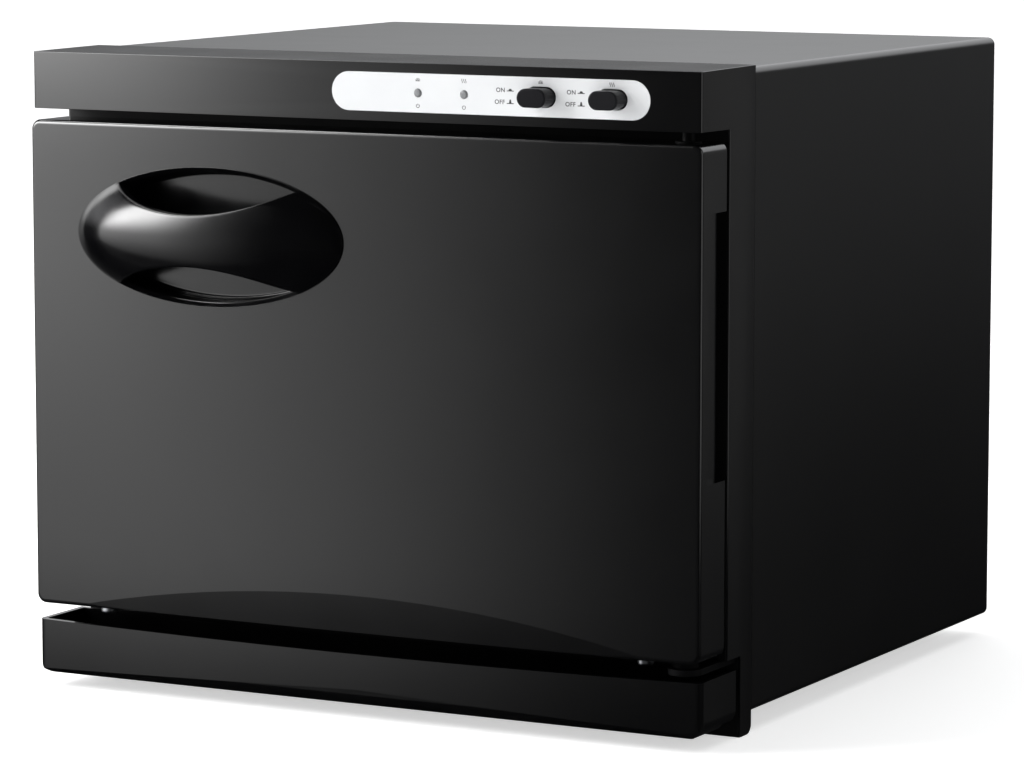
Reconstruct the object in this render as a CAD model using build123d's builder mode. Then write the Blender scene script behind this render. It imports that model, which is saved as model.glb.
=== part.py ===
from build123d import *
import math
import os

os.makedirs("parts", exist_ok=True)

# The warmer stands on Z = 0, its front looks to -Y, and all sizes are millimetres.

# Whole cabinet
cabinet_width = 300.0       # sheet-steel cabinet, side to side
cabinet_height = 252.5      # its underside to its top
cabinet_depth = 245.8       # its front edge, at the frame, to its rear edge
sheet = 1.0                 # steel sheet
sheet_bend = 3.0            # outer radius of the cabinet's long bends
cover_lip = 14.0            # lips folded in under the cabinet
rear_flange = 10.0          # flange folded in at the back, which takes the rear panel
rear_inset = 2.0            # rear edge to the rear face of that flange
foot_height = 8.2           # table to the cabinet's underside
seam_fit = 0.2              # slip between panels that nest

# Front frame
frame_depth = 48.7          # control strip's face to the seam with the cabinet
frame_wall = 2.5
frame_rise = 0.5            # strip's front edge above the cabinet's top
frame_draft = 0.3           # and this much higher again at the seam
strip_height = 23.0         # control strip
bay_height = 24.0           # cabinet's underside to the top of the tray's bay
strip_corner = 1.5          # rounding of its two upright front corners
column_corner = 0.8         # rounding of the side columns' front corners
foot_bar_depth = 10.6       # depth of the foot bar below the door
foot_length = 40.0          # each foot, along X
foot_round = 4.0            # round on the feet's rear bottom corner
frame_screw_inset = 12.0    # frame's side to the screws round the mouth
joint_lip = 8.0             # lip of the frame that slips into the cabinet
joint_lip_root = 4.0        # its root inside the frame
joint_lip_wall = 1.8

# Door
door_thickness = 22.2
door_overhang = 0.8         # past the cabinet's side, each side
door_proud = 1.0            # front face ahead of the control strip
door_gap = 4.4              # door to the column face, filled by the gasket
door_top_gap = 4.5          # below the control strip
door_foot_gap = 2.5         # above the tray bay
door_wall = 2.5
door_corner = 4.0           # corner radius in the front view
door_edge = 1.75            # rounding of the front edges
inner_panel_wall = 2.0
panel_fit = 0.3             # slip of the inner panel in the door shell
boss_height = 10.0          # bosses inside the door's top and bottom walls
boss_half = 9.0             # half width of those bosses
post_diameter = 8.0         # posts that take the inner panel's screws
post_inset_x = 13.0         # post centre to the door's side
post_inset_z = 27.0         # post centre to the door's top or bottom
scoop_half_width = 133.0    # shallow hollow across the door's foot
scoop_height = 15.0
scoop_depth = 1.2
rebate_length = 103.5       # finger rebate in the door's right side
rebate_depth = 4.0
rebate_rise = 69.0          # door's bottom to the rebate's lower end
rebate_setback = 6.2        # door's front to the rebate
foam_pocket = 1.0           # around what the foam is cut out for

# Door handle
handle_half_length = 61.5   # ellipse on the door's face
handle_half_height = 28.0
handle_inset = 84.5         # its centre to the door's left side
handle_drop = 44.4          # its centre to the door's top
handle_bulge = 20.0         # grip's crown ahead of the rim
grip_wall = 3.6
grip_waist = 10.4           # half height of the grip at its middle
grip_flare = 42.0           # where the finger hollows' edges meet the ellipse, from the centre
grip_trim = 1.0             # its cutting outline reaches this far past the ends
rim_height = 0.8            # dish rim ahead of the door's face
rim_width = 0.6
dish_depth = 13.0
dish_wall = 1.2
dish_round = 2.2            # inner round at the dish's floor

# Hinge
hinge_inset = 9.8           # axis to the door's right side
hinge_setback = 9.0         # axis to the door's front
pin_diameter = 5.0
pin_reach = 9.0             # length of pin inside the door
pin_head = 9.0
pin_head_height = 1.5
pin_head_round = 0.5
pin_taper = 0.6             # chamfer on a pin's tip
shaft_fit = 0.05            # radial clearance of a pin in its bush
bush_wall = 1.5
bush_length = 12.0
bush_flange = 10.0          # flange diameter
bush_flange_upper = 0.8
bearing_gap = 0.3           # running gap between faces
bracket_thickness = 2.5
bracket_half = 7.0          # half width of the lower hinge bracket

# Seal and catch
gasket_width = 7.0
gasket_margin = 3.0         # chamber mouth to the gasket
gasket_round = 1.5          # round on its lip
magnet_length = 40.0
magnet_width = 10.0
magnet_depth = 9.0
magnet_flange = 1.5         # flange behind the frame's face
magnet_inset = 10.0         # its centre to the cabinet's left side
strike_thickness = 1.0

# Drip tray
tray_height = 22.8
tray_depth = 32.1
tray_overhang = 0.7
tray_top_gap = 4.4          # below the bay's roof
tray_setback = 0.6          # ends of its front behind the strip's face
tray_wall = 2.2
tray_bow = 1.8              # front bows forward at the middle
tray_dip = 1.5              # top edge dips at the middle
tray_round = 7.0            # along the bottom
tray_corner = 3.0           # upright front corners
tray_travel = 35.0
tongue_width = 20.0
tongue_thickness = 3.0
tongue_inset = 50.0         # cabinet's side to a tongue's middle
tongue_rise = 8.9           # tongue's underside above the tray's
tongue_grip = 5.0           # tongue still in its slot at full travel
slot_fit = 0.35             # round a tongue in its slot

# Chamber
chamber_side = 32.0         # cabinet's side to the chamber
chamber_cover = 15.5        # door past the chamber's ceiling and floor
rear_bay = 66.4             # chamber's rear wall to the cabinet's rear edge
chamber_corner = 8.0
liner_sheet = 0.8
liner_flange = 12.0
liner_ear = 8.5             # half size of the flange's screw ears
mouth_margin = 2.0          # frame's opening outside the liner's
mat_thickness = 1.5
mat_margin = 12.0           # liner's edges to a heating mat
insulation = 14.0
board_margin = 1.0
cradle_depth = 50.0
cradle_half = 60.0
cradle_foot = 15.0
cradle_sheet = 1.2
cradle_inset = 30.0         # chamber's rear to the cradle

# Lamp in the chamber
lamp_diameter = 15.5
lamp_length = 136.0
lamp_round = 1.9
lamp_drop = 19.0            # chamber's ceiling to the lamp's axis
lamp_setback = 20.0         # chamber's rear wall to the lamp's axis
holder_width = 9.0
holder_half = 9.5           # half depth of a lamp holder
guard_sheet = 1.0
guard_margin = 5.0          # lamp to its guard
guard_slot = 5.0
guard_pitch = 12.0
guard_rim = 5.0             # plain strip at each end of its slots

# Towel basket
basket_wire = 3.0
basket_bite = 0.5           # how far crossing wires are welded into each other
basket_height = 62.0
basket_margin = 8.0         # to the chamber's walls
basket_pitch = 24.0         # between the wires that run front to back
basket_cross_pitch = 36.0
basket_bend = 7.0

# Controls
label_length = 138.6
label_height = 15.2
label_thickness = 0.4
label_inset = 90.5          # its centre to the cabinet's right side
button_insets = (67.8, 37.3)  # and the buttons' centres
button_length = 12.4
button_height = 7.3
button_proud = 9.0
button_inside = 4.0         # cap behind the strip's face
button_fit = 0.4
button_edge = 0.8
button_travel = 3.5
stem_diameter = 3.0
stem_length = 6.5
switch_width = 14.0
switch_height = 13.0
switch_depth = 15.0
bracket_sheet = 1.2
bracket_foot = 12.0
bracket_end = 8.0           # bracket past the outer switches
indicator_insets = (121.4, 101.1)
indicator_diameter = 3.4
indicator_proud = 0.9
indicator_dome = 0.85
indicator_fit = 0.05
board_thickness = 1.6
board_end = 9.0             # board past the outer lenses
board_height = 13.0
standoff_height = 4.0
standoff_diameter = 4.0

# Parts at the back
vent_length = 40.0
vent_height = 4.0
vent_pitch = 9.0
vent_rows = 8
vent_spacing = 130.0        # between the two vent fields
vent_rise = 150.0           # base plate to the middle of the vents
gland_bore = 7.2
gland_wall = 2.4
gland_flange = 18.0
gland_flange_thickness = 2.5
gland_reach = 9.0           # gland behind the rear panel
gland_inset = 50.0          # its axis to the cabinet's side
gland_rise = 35.0           # base plate to the gland's axis
gland_inside = 9.0
gland_round = 0.8
nut_size = 18.0
nut_sides = 6
nut_thickness = 4.0
ballast_length = 86.0
ballast_depth = 28.0
ballast_height = 24.0
ballast_ear = 8.0
ear_width = 14.0
ballast_x = -62.0
ear_thickness = 1.5
terminal_length = 44.0
terminal_depth = 16.0
terminal_height = 15.0
terminal_ways = 4
terminal_hole = 4.4
terminal_x = 40.0
thermostat_diameter = 16.0
thermostat_height = 9.0
thermostat_x = 60.0
thermostat_rise = 56.0       # chamber's floor to its middle
thermostat_round = 1.0
spade_width = 4.0
spade_spacing = 8.0
fuse_diameter = 5.0
fuse_length = 14.0
fuse_x = 30.0
fuse_taper = 0.6
loom_diameter = 5.0
loom_bend = 5.5
loom_setback = 13.0         # frame's face to the rise behind the strip
tab_length = 4.0            # switch tabs
tab_height = 4.3
tab_spacing = 3.5
seat_gap = 0.3              # a soft or round piece above what carries it

# Feet and screws
rear_foot_diameter = 20.0
rear_foot_side = 35.0       # their middle to the cabinet's side
rear_foot_inset = 32.0
rear_foot_taper = 2.0
screw_head = 6.3
screw_head_height = 2.6
screw_round = 1.1
screw_shank = 3.0
screw_hole_fit = 0.1
screw_length = 8.0
sink_head = 6.0             # head of a countersunk screw
sink_depth = 1.5
recess_length = 3.4
recess_width = 0.9
recess_depth = 1.0
door_screw_inset = 28.0     # door's side to the screws under it
door_screw_setback = 11.2   # door's front to those screws
door_screw_height = 3.6     # their heads, washer included

# Levels, from the table up
half_width = cabinet_width / 2
cabinet_bottom = foot_height
cabinet_top = cabinet_bottom + cabinet_height
strip_top = cabinet_top + frame_rise
strip_bottom = strip_top - strip_height
door_top = strip_bottom - door_top_gap
bay_top = cabinet_bottom + bay_height
door_bottom = bay_top + door_foot_gap
door_height = door_top - door_bottom
door_middle = (door_top + door_bottom) / 2
tray_top = bay_top - tray_top_gap
tray_bottom = tray_top - tray_height
chamber_bottom = door_bottom + chamber_cover
chamber_top = door_top - chamber_cover
chamber_height = chamber_top - chamber_bottom
base_bottom = cabinet_bottom + sheet
base_top = base_bottom + sheet

# Depths, front to back, about the middle of the whole length
column_setback = door_thickness + door_gap - door_proud
front_reach = door_proud + rim_height + handle_bulge
back_reach = frame_depth + cabinet_depth - rear_inset + sheet + gland_reach
face_y = (front_reach - back_reach) / 2
seam_y = face_y + frame_depth
column_y = face_y + column_setback
foot_y = seam_y - foot_bar_depth
rear_y = seam_y + cabinet_depth
flange_y = rear_y - rear_inset
panel_back_y = flange_y + sheet
door_front = face_y - door_proud
door_rear = door_front + door_thickness
inner_panel_y = door_rear - inner_panel_wall
liner_front = column_y + frame_wall
liner_rear = rear_y - rear_bay
chamber_depth = liner_rear - liner_front
tray_front = face_y + tray_setback
tray_rear = tray_front + tray_depth

# Places across the width
door_half = half_width + door_overhang
tray_half = half_width + tray_overhang
hinge_x = door_half - hinge_inset
hinge_y = door_front + hinge_setback
handle_x = handle_inset - door_half
handle_z = door_top - handle_drop
strip_middle = (strip_top + strip_bottom) / 2
label_centre = half_width - label_inset
button_centres = [half_width - inset for inset in button_insets]
indicator_centres = [half_width - inset for inset in indicator_insets]
tongue_x = half_width - tongue_inset
gland_x = half_width - gland_inset
rear_foot_x = half_width - rear_foot_side
chamber_width = cabinet_width - 2 * chamber_side
mouth_width = chamber_width + 2 * mouth_margin
mouth_height = chamber_height + 2 * mouth_margin


def front_plane(y):
    """Plane at depth y that looks to the front; its axes are X and Z."""
    return Plane.XZ.offset(-y)


def back_plane(y):
    """Plane at depth y that looks to the back; its axes are -X and Z."""
    return Plane(origin=(0, y, 0), x_dir=(-1, 0, 0), z_dir=(0, 1, 0))


def under_plane(z):
    """Plane at height z that looks down; its axes are X and -Y."""
    return Plane(origin=(0, 0, z), x_dir=(1, 0, 0), z_dir=(0, 0, -1))


def keep(part, name):
    """Label a finished piece and write it as its own file."""
    part.label = name
    export_step(part, f"parts/{name}.step")


def drill(face, spots, diameter, depth):
    """Round holes through the piece in hand, from a face plane inwards."""
    with BuildSketch(face) as holes:
        with Locations(*spots):
            Circle(diameter / 2)
    extrude(holes.sketch, amount=-depth, mode=Mode.SUBTRACT)


def box_between(low, high, mode=Mode.ADD):
    """Block between two corners, joined to or cut from the piece in hand."""
    size = [top - bottom for bottom, top in zip(low, high)]
    middle = tuple((top + bottom) / 2 for bottom, top in zip(low, high))
    with Locations(middle):
        Box(*size, mode=mode)


def block(low, high):
    """A plain board or block between two corners."""
    with BuildPart() as piece:
        box_between(low, high)
    return piece.part


def pan_screws(face, spots, length, head_height=screw_head_height):
    """Pan-head screws whose heads stand on a face plane and whose shanks run behind it."""
    with BuildPart() as screws:
        with BuildSketch(face):
            with Locations(*spots):
                Circle(screw_head / 2)
        extrude(amount=head_height)
        fillet(screws.edges().group_by(Axis(face.origin, face.z_dir))[-1], screw_round)
        with BuildSketch(face.offset(head_height)):
            with Locations(*spots):
                Rectangle(recess_length, recess_width)
                Rectangle(recess_width, recess_length)
        extrude(amount=-recess_depth, mode=Mode.SUBTRACT)
        with BuildSketch(face):
            with Locations(*spots):
                Circle(screw_shank / 2)
        extrude(amount=-length)
    return screws.part


def flush_screws(face, spots, length):
    """Countersunk screws whose heads lie level with a face plane."""
    with BuildPart() as screws:
        for spot in spots:
            with BuildSketch(face):
                with Locations(spot):
                    Circle(sink_head / 2)
            with BuildSketch(face.offset(-sink_depth)):
                with Locations(spot):
                    Circle(screw_shank / 2)
            loft()
        with BuildSketch(face):
            with Locations(*spots):
                Circle(screw_shank / 2)
        extrude(amount=-length)
    return screws.part


def sink(face, spots, depth):
    """Countersunk holes through the piece in hand, from a face plane inwards."""
    with Locations(face):
        with Locations(*spots):
            CounterSinkHole(screw_hole / 2, sink_head / 2 + screw_hole_fit, depth)


screw_hole = screw_shank + 2 * screw_hole_fit

# Front frame: control strip, columns, face round the chamber mouth, foot bar
button_spots = [(x, strip_middle) for x in button_centres]
indicator_spots = [(x, strip_middle) for x in indicator_centres]
tongue_bottom = tray_bottom + tongue_rise
tongue_middle = tongue_bottom + tongue_thickness / 2
foot_inner = half_width - foot_length
frame_screw_spots = [(side * (half_width - frame_screw_inset), z)
                     for side in (-1, 1) for z in (chamber_bottom, chamber_top)]
with BuildPart() as front_frame:
    with BuildSketch(Plane.YZ.offset(-half_width)):
        with BuildLine():
            outline = Polyline(
                (seam_y, foot_round), (seam_y, strip_top + frame_draft), (face_y, strip_top),
                (face_y, strip_bottom), (column_y, strip_bottom), (column_y, bay_top),
                (foot_y, bay_top), (foot_y, 0), (seam_y - foot_round, 0))
            TangentArc(outline @ 1, outline @ 0, tangent=(1, 0))
        make_face()
    extrude(amount=cabinet_width)
    upright = front_frame.edges().filter_by(Axis.Z)
    fillet(upright.filter_by_position(Axis.Y, face_y, face_y), strip_corner)
    upright = front_frame.edges().filter_by(Axis.Z)
    fillet(upright.filter_by_position(Axis.Y, column_y, column_y), column_corner)
    # Hollow behind the walls, open to the back
    with BuildSketch(Plane.YZ.offset(-half_width + frame_wall)):
        with BuildLine():
            Polyline(
                (seam_y, cabinet_bottom + frame_wall), (seam_y, strip_top - frame_wall),
                (face_y + frame_wall, strip_top - frame_wall),
                (face_y + frame_wall, strip_bottom + frame_wall),
                (column_y + frame_wall, strip_bottom + frame_wall),
                (column_y + frame_wall, bay_top + frame_wall),
                (foot_y + frame_wall, bay_top + frame_wall),
                (foot_y + frame_wall, cabinet_bottom + frame_wall), close=True)
        make_face()
    extrude(amount=cabinet_width - 2 * frame_wall, mode=Mode.SUBTRACT)
    # Space between the two feet
    box_between((-foot_inner, foot_y - frame_wall, 0),
                (foot_inner, seam_y + frame_wall, cabinet_bottom), mode=Mode.SUBTRACT)
    # Lip that slips into the cabinet
    lip_width = cabinet_width - 2 * (sheet + seam_fit)
    lip_low = cabinet_bottom + sheet + seam_fit
    lip_high = cabinet_top - sheet - seam_fit
    with BuildSketch(front_plane(seam_y - joint_lip_root)):
        with Locations((0, (lip_low + lip_high) / 2)):
            RectangleRounded(lip_width, lip_high - lip_low, sheet_bend - sheet)
            RectangleRounded(lip_width - 2 * joint_lip_wall,
                             lip_high - lip_low - 2 * joint_lip_wall,
                             sheet_bend - sheet, mode=Mode.SUBTRACT)
    extrude(amount=-(joint_lip + joint_lip_root))
    # Mouth of the chamber
    with BuildSketch(front_plane(column_y)):
        with Locations((0, door_middle)):
            RectangleRounded(mouth_width, mouth_height, chamber_corner)
    extrude(amount=-frame_wall, mode=Mode.SUBTRACT)
    # Standoffs behind the strip for the indicator board
    board_middle = sum(indicator_centres) / 2
    board_half = (indicator_centres[1] - indicator_centres[0]) / 2 + board_end
    standoff_x = board_half - standoff_diameter
    with BuildSketch(front_plane(face_y + frame_wall)):
        with Locations((board_middle - standoff_x, strip_middle),
                       (board_middle + standoff_x, strip_middle)):
            Circle(standoff_diameter / 2)
    extrude(amount=-standoff_height)
    # Openings for the buttons, lenses, catch, hinge pin, screws and tray tongues
    with BuildSketch(front_plane(face_y)):
        with Locations(*button_spots):
            SlotOverall(button_length + 2 * button_fit, button_height + 2 * button_fit)
    extrude(amount=-frame_wall, mode=Mode.SUBTRACT)
    drill(front_plane(face_y), indicator_spots,
          indicator_diameter + 2 * indicator_fit, frame_wall)
    sink(front_plane(column_y), frame_screw_spots, frame_wall)
    with BuildSketch(front_plane(column_y)):
        with Locations((magnet_inset - half_width, door_middle)):
            Rectangle(magnet_width + 2 * seam_fit, magnet_length + 2 * seam_fit)
    extrude(amount=-frame_wall, mode=Mode.SUBTRACT)
    drill(Plane.XY.offset(strip_bottom + frame_wall), [(hinge_x, hinge_y)],
          pin_diameter + 2 * shaft_fit, frame_wall)
    with BuildSketch(front_plane(foot_y)):
        with Locations((-tongue_x, tongue_middle), (tongue_x, tongue_middle)):
            Rectangle(tongue_width + 2 * slot_fit, tongue_thickness + 2 * slot_fit)
    extrude(amount=-frame_wall, mode=Mode.SUBTRACT)
    hinge_screw_y = (column_y + foot_y) / 2
    hinge_screw_spots = [(hinge_x - bracket_half / 2, -hinge_screw_y),
                         (hinge_x + bracket_half / 2, -hinge_screw_y)]
    drill(under_plane(bay_top), hinge_screw_spots, screw_hole, frame_wall)
keep(front_frame.part, "front_frame")

# Cabinet cover: bent sheet with lips under the floor and a flange at the back
inner_half = half_width - sheet
inner_top = cabinet_top - sheet
cover_middle = (cabinet_top + cabinet_bottom) / 2
panel_screw_x = inner_half - rear_flange / 2
panel_screw_top = inner_top - rear_flange / 2
panel_screw_low = base_top + rear_flange
panel_screw_spots = [(side * panel_screw_x, z) for side in (-1, 1)
                     for z in (panel_screw_low, cover_middle, panel_screw_top)]
panel_screw_spots.append((0, panel_screw_top))
with BuildPart() as cabinet_cover:
    with BuildSketch(front_plane(seam_y)):
        with Locations((0, cover_middle)):
            RectangleRounded(cabinet_width, cabinet_height, sheet_bend)
            RectangleRounded(cabinet_width - 2 * sheet, cabinet_height - 2 * sheet,
                             sheet_bend - sheet, mode=Mode.SUBTRACT)
        with Locations((0, cabinet_bottom)):
            Rectangle(cabinet_width - 2 * cover_lip, 2 * sheet, mode=Mode.SUBTRACT)
    extrude(amount=-cabinet_depth)
    with BuildSketch(front_plane(flange_y)):
        with Locations((0, cover_middle)):
            Rectangle(cabinet_width - 2 * sheet, cabinet_height - 2 * sheet)
        with Locations((0, (base_top + inner_top - rear_flange) / 2)):
            Rectangle(2 * (inner_half - rear_flange), inner_top - rear_flange - base_top,
                      mode=Mode.SUBTRACT)
        with Locations((0, cabinet_bottom)):
            Rectangle(cabinet_width, 2 * (base_top + seam_fit - cabinet_bottom),
                      mode=Mode.SUBTRACT)
    extrude(amount=sheet)
    drill(back_plane(flange_y), panel_screw_spots, screw_hole, sheet)
keep(cabinet_cover.part, "cabinet_cover")

# Base plate lies on the cover's lips; the rubber feet and the parts at the back stand on it
rear_foot_y = rear_y - rear_foot_inset
foot_spots = [(-rear_foot_x, rear_foot_y), (rear_foot_x, rear_foot_y)]
base_front = seam_y + joint_lip + seam_fit
with BuildPart() as base_plate:
    base_half = half_width - sheet_bend
    box_between((-base_half, base_front, base_bottom),
                (base_half, flange_y - sheet - seam_fit, base_top))
    with BuildSketch(Plane.XY.offset(base_top)):
        with Locations((0, (base_front + flange_y) / 2)):
            with GridLocations(vent_spacing, vent_pitch, 2, vent_rows):
                SlotOverall(vent_length, vent_height)
    extrude(amount=-sheet, mode=Mode.SUBTRACT)
keep(base_plate.part, "base_plate")

# Rubber feet under the back
with BuildPart() as rear_feet:
    with BuildSketch(Plane.XY.offset(base_bottom)):
        with Locations(*foot_spots):
            Circle(rear_foot_diameter / 2)
    extrude(amount=-base_bottom)
    chamfer(rear_feet.edges().group_by(Axis.Z)[0], rear_foot_taper)
keep(rear_feet.part, "rear_feet")

# Rear panel with its vents, screwed to the cover's flange
gland_z = base_top + gland_rise
gland_outer = gland_bore + 2 * gland_wall
panel_half = inner_half - seam_fit
panel_low = cabinet_bottom + sheet + seam_fit
panel_high = inner_top - seam_fit
with BuildPart() as rear_panel:
    with BuildSketch(back_plane(flange_y)):
        with Locations((0, (panel_low + panel_high) / 2)):
            RectangleRounded(2 * panel_half, panel_high - panel_low, sheet_bend - sheet)
        with Locations((0, base_top + vent_rise)):
            with GridLocations(vent_spacing, vent_pitch, 2, vent_rows):
                SlotOverall(vent_length, vent_height, mode=Mode.SUBTRACT)
    extrude(amount=sheet)
    drill(back_plane(panel_back_y), panel_screw_spots, screw_hole, sheet)
    drill(back_plane(panel_back_y), [(-gland_x, gland_z)], gland_outer + 2 * seam_fit, sheet)
keep(rear_panel.part, "rear_panel")
keep(pan_screws(back_plane(panel_back_y), panel_screw_spots, 2 * sheet + screw_head_height),
     "rear_panel_screws")

# Strain-relief gland for the supply lead, with its nut inside
with BuildPart() as cord_gland:
    with BuildSketch(back_plane(panel_back_y)):
        with Locations((-gland_x, gland_z)):
            Circle(gland_flange / 2)
    extrude(amount=gland_flange_thickness)
    with BuildSketch(back_plane(panel_back_y)):
        with Locations((-gland_x, gland_z)):
            Circle(gland_outer / 2)
    extrude(amount=gland_reach)
    with BuildSketch(back_plane(panel_back_y)):
        with Locations((-gland_x, gland_z)):
            Circle(gland_outer / 2)
    extrude(amount=-gland_inside)
    fillet(cord_gland.edges().group_by(Axis.Y)[-1], gland_round)
    drill(back_plane(panel_back_y + gland_reach), [(-gland_x, gland_z)], gland_bore,
          gland_reach + gland_inside)
keep(cord_gland.part, "cord_gland")
with BuildPart() as gland_nut:
    with BuildSketch(front_plane(flange_y)):
        with Locations((gland_x, gland_z)):
            RegularPolygon(nut_size / 2, nut_sides)
            Circle(gland_outer / 2 + shaft_fit, mode=Mode.SUBTRACT)
    extrude(amount=nut_thickness)
keep(gland_nut.part, "gland_nut")

# Chamber liner: folded aluminium box whose flange sits behind the frame's face
with BuildPart() as inner_liner:
    with BuildSketch(front_plane(liner_front)):
        with Locations((0, door_middle)):
            RectangleRounded(chamber_width + 2 * liner_flange, chamber_height + 2 * liner_flange,
                             chamber_corner)
        with Locations(*frame_screw_spots):
            Rectangle(2 * liner_ear, 2 * liner_ear)
    extrude(amount=-liner_sheet)
    drill(front_plane(liner_front), frame_screw_spots, screw_hole, liner_sheet)
    with BuildSketch(front_plane(liner_front)):
        with Locations((0, door_middle)):
            RectangleRounded(chamber_width + 2 * liner_sheet, chamber_height + 2 * liner_sheet,
                             chamber_corner + liner_sheet)
    extrude(amount=-(chamber_depth + liner_sheet))
    with BuildSketch(front_plane(liner_front)):
        with Locations((0, door_middle)):
            RectangleRounded(chamber_width, chamber_height, chamber_corner)
    extrude(amount=-chamber_depth, mode=Mode.SUBTRACT)
keep(inner_liner.part, "inner_liner")
liner_back = liner_rear + liner_sheet
keep(flush_screws(front_plane(column_y), frame_screw_spots, screw_length), "frame_screws")

# Heating mats under the chamber and on its sides, and the insulation boards outside them
liner_half = chamber_width / 2 + liner_sheet
liner_low = chamber_bottom - liner_sheet
liner_high = chamber_top + liner_sheet
flat_half = chamber_width / 2 - chamber_corner
flat_low = chamber_bottom + chamber_corner
flat_high = chamber_top - chamber_corner
mat_front = liner_front + mat_margin
mat_rear = liner_rear - mat_margin
mat_low = liner_low - mat_thickness
mat_outer = liner_half + mat_thickness
keep(block((-flat_half, mat_front, mat_low), (flat_half, mat_rear, liner_low)),
     "heater_mat_base")
keep(block((-mat_outer, mat_front, flat_low), (-liner_half, mat_rear, flat_high)),
     "heater_mat_left")
keep(block((liner_half, mat_front, flat_low), (mat_outer, mat_rear, flat_high)),
     "heater_mat_right")
board_front = liner_front + liner_sheet + board_margin
board_base = mat_low - insulation
keep(block((-flat_half, board_front, liner_high), (flat_half, liner_rear, liner_high + insulation)),
     "insulation_top")
keep(block((-flat_half, seam_y + board_margin, board_base), (flat_half, liner_rear, mat_low)),
     "insulation_base")
keep(block((-mat_outer - insulation, board_front, flat_low), (-mat_outer, liner_rear, flat_high)),
     "insulation_left")
keep(block((mat_outer, board_front, flat_low), (mat_outer + insulation, liner_rear, flat_high)),
     "insulation_right")
thermostat_z = chamber_bottom + thermostat_rise
pocket_width = (thermostat_x - fuse_x) + thermostat_diameter + fuse_diameter
with BuildPart() as insulation_rear:
    box_between((-flat_half, liner_back, flat_low), (flat_half, liner_back + insulation, flat_high))
    with BuildSketch(front_plane(liner_back)):
        with Locations(((thermostat_x + fuse_x) / 2, thermostat_z)):
            RectangleRounded(pocket_width + 2 * board_margin,
                             thermostat_diameter + 2 * board_margin, board_margin)
    extrude(amount=-insulation, mode=Mode.SUBTRACT)
keep(insulation_rear.part, "insulation_rear")

# Cradle: folded bracket between the base plate and the board under the chamber
cradle_rear = liner_rear - cradle_inset
cradle_front = cradle_rear - cradle_depth
with BuildPart() as liner_cradle:
    with BuildSketch(front_plane(cradle_front)):
        with BuildLine():
            Polyline((-cradle_half - cradle_foot, base_top), (-cradle_half, base_top),
                     (-cradle_half, board_base - cradle_sheet),
                     (cradle_half, board_base - cradle_sheet),
                     (cradle_half, base_top), (cradle_half + cradle_foot, base_top),
                     (cradle_half + cradle_foot, base_top + cradle_sheet),
                     (cradle_half + cradle_sheet, base_top + cradle_sheet),
                     (cradle_half + cradle_sheet, board_base),
                     (-cradle_half - cradle_sheet, board_base),
                     (-cradle_half - cradle_sheet, base_top + cradle_sheet),
                     (-cradle_half - cradle_foot, base_top + cradle_sheet), close=True)
        make_face()
    extrude(amount=-cradle_depth)
keep(liner_cradle.part, "liner_cradle")

# Thermostat disc and thermal fuse clamped on the chamber's rear wall
with BuildPart() as thermostat:
    with BuildSketch(back_plane(liner_back)):
        with Locations((-thermostat_x, thermostat_z)):
            Circle(thermostat_diameter / 2)
    extrude(amount=thermostat_height)
    fillet(thermostat.edges().group_by(Axis.Y)[-1], thermostat_round)
    with BuildSketch(back_plane(liner_back + thermostat_height)):
        with Locations((-thermostat_x - spade_spacing / 2, thermostat_z),
                       (-thermostat_x + spade_spacing / 2, thermostat_z)):
            Rectangle(recess_width, spade_width)
    extrude(amount=insulation - thermostat_height + bracket_sheet)
keep(thermostat.part, "thermostat")
with BuildPart() as thermal_fuse:
    with BuildSketch(Plane.YZ.offset(fuse_x - fuse_length / 2)):
        with Locations((liner_back + seat_gap + fuse_diameter / 2, thermostat_z)):
            Circle(fuse_diameter / 2)
    extrude(amount=fuse_length)
    chamfer(thermal_fuse.edges(), fuse_taper)
keep(thermal_fuse.part, "thermal_fuse")

# Ultraviolet tube under the chamber's ceiling, between two holders, behind a slotted guard
lamp_y = liner_rear - lamp_setback
lamp_z = chamber_top - lamp_drop
lamp_half = lamp_length / 2
with BuildPart() as uv_lamp:
    with BuildSketch(Plane.YZ.offset(-lamp_half)):
        with Locations((lamp_y, lamp_z)):
            Circle(lamp_diameter / 2)
    extrude(amount=lamp_length)
    fillet(uv_lamp.edges(), lamp_round)
keep(uv_lamp.part, "uv_lamp")
for side, name in ((-1, "lamp_holder_left"), (1, "lamp_holder_right")):
    inner_face = side * lamp_half
    outer_face = side * (lamp_half + holder_width)
    keep(block((min(inner_face, outer_face), lamp_y - holder_half, lamp_z - holder_half),
               (max(inner_face, outer_face), lamp_y + holder_half, chamber_top)), name)
guard_half = lamp_half + holder_width
guard_front = lamp_y - holder_half - guard_margin
guard_low = lamp_z - holder_half - guard_margin
guard_slots = int((2 * guard_half - guard_pitch) / guard_pitch)
with BuildPart() as lamp_guard:
    box_between((-guard_half, guard_front - guard_sheet, guard_low - guard_sheet),
                (guard_half, guard_front, chamber_top))
    box_between((-guard_half, guard_front - guard_sheet, guard_low - guard_sheet),
                (guard_half, liner_rear, guard_low))
    with BuildSketch(front_plane(guard_front)):
        with Locations((0, (guard_low + chamber_top) / 2)):
            with GridLocations(guard_pitch, 1, guard_slots, 1):
                SlotOverall(chamber_top - guard_low - 2 * guard_rim, guard_slot, rotation=90)
    extrude(amount=guard_sheet, mode=Mode.SUBTRACT)
    with BuildSketch(Plane.XY.offset(guard_low)):
        with Locations((0, (guard_front + liner_rear) / 2)):
            with GridLocations(guard_pitch, 1, guard_slots, 1):
                SlotOverall(liner_rear - guard_front - 2 * guard_rim, guard_slot, rotation=90)
    extrude(amount=-guard_sheet, mode=Mode.SUBTRACT)
keep(lamp_guard.part, "lamp_guard")

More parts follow.
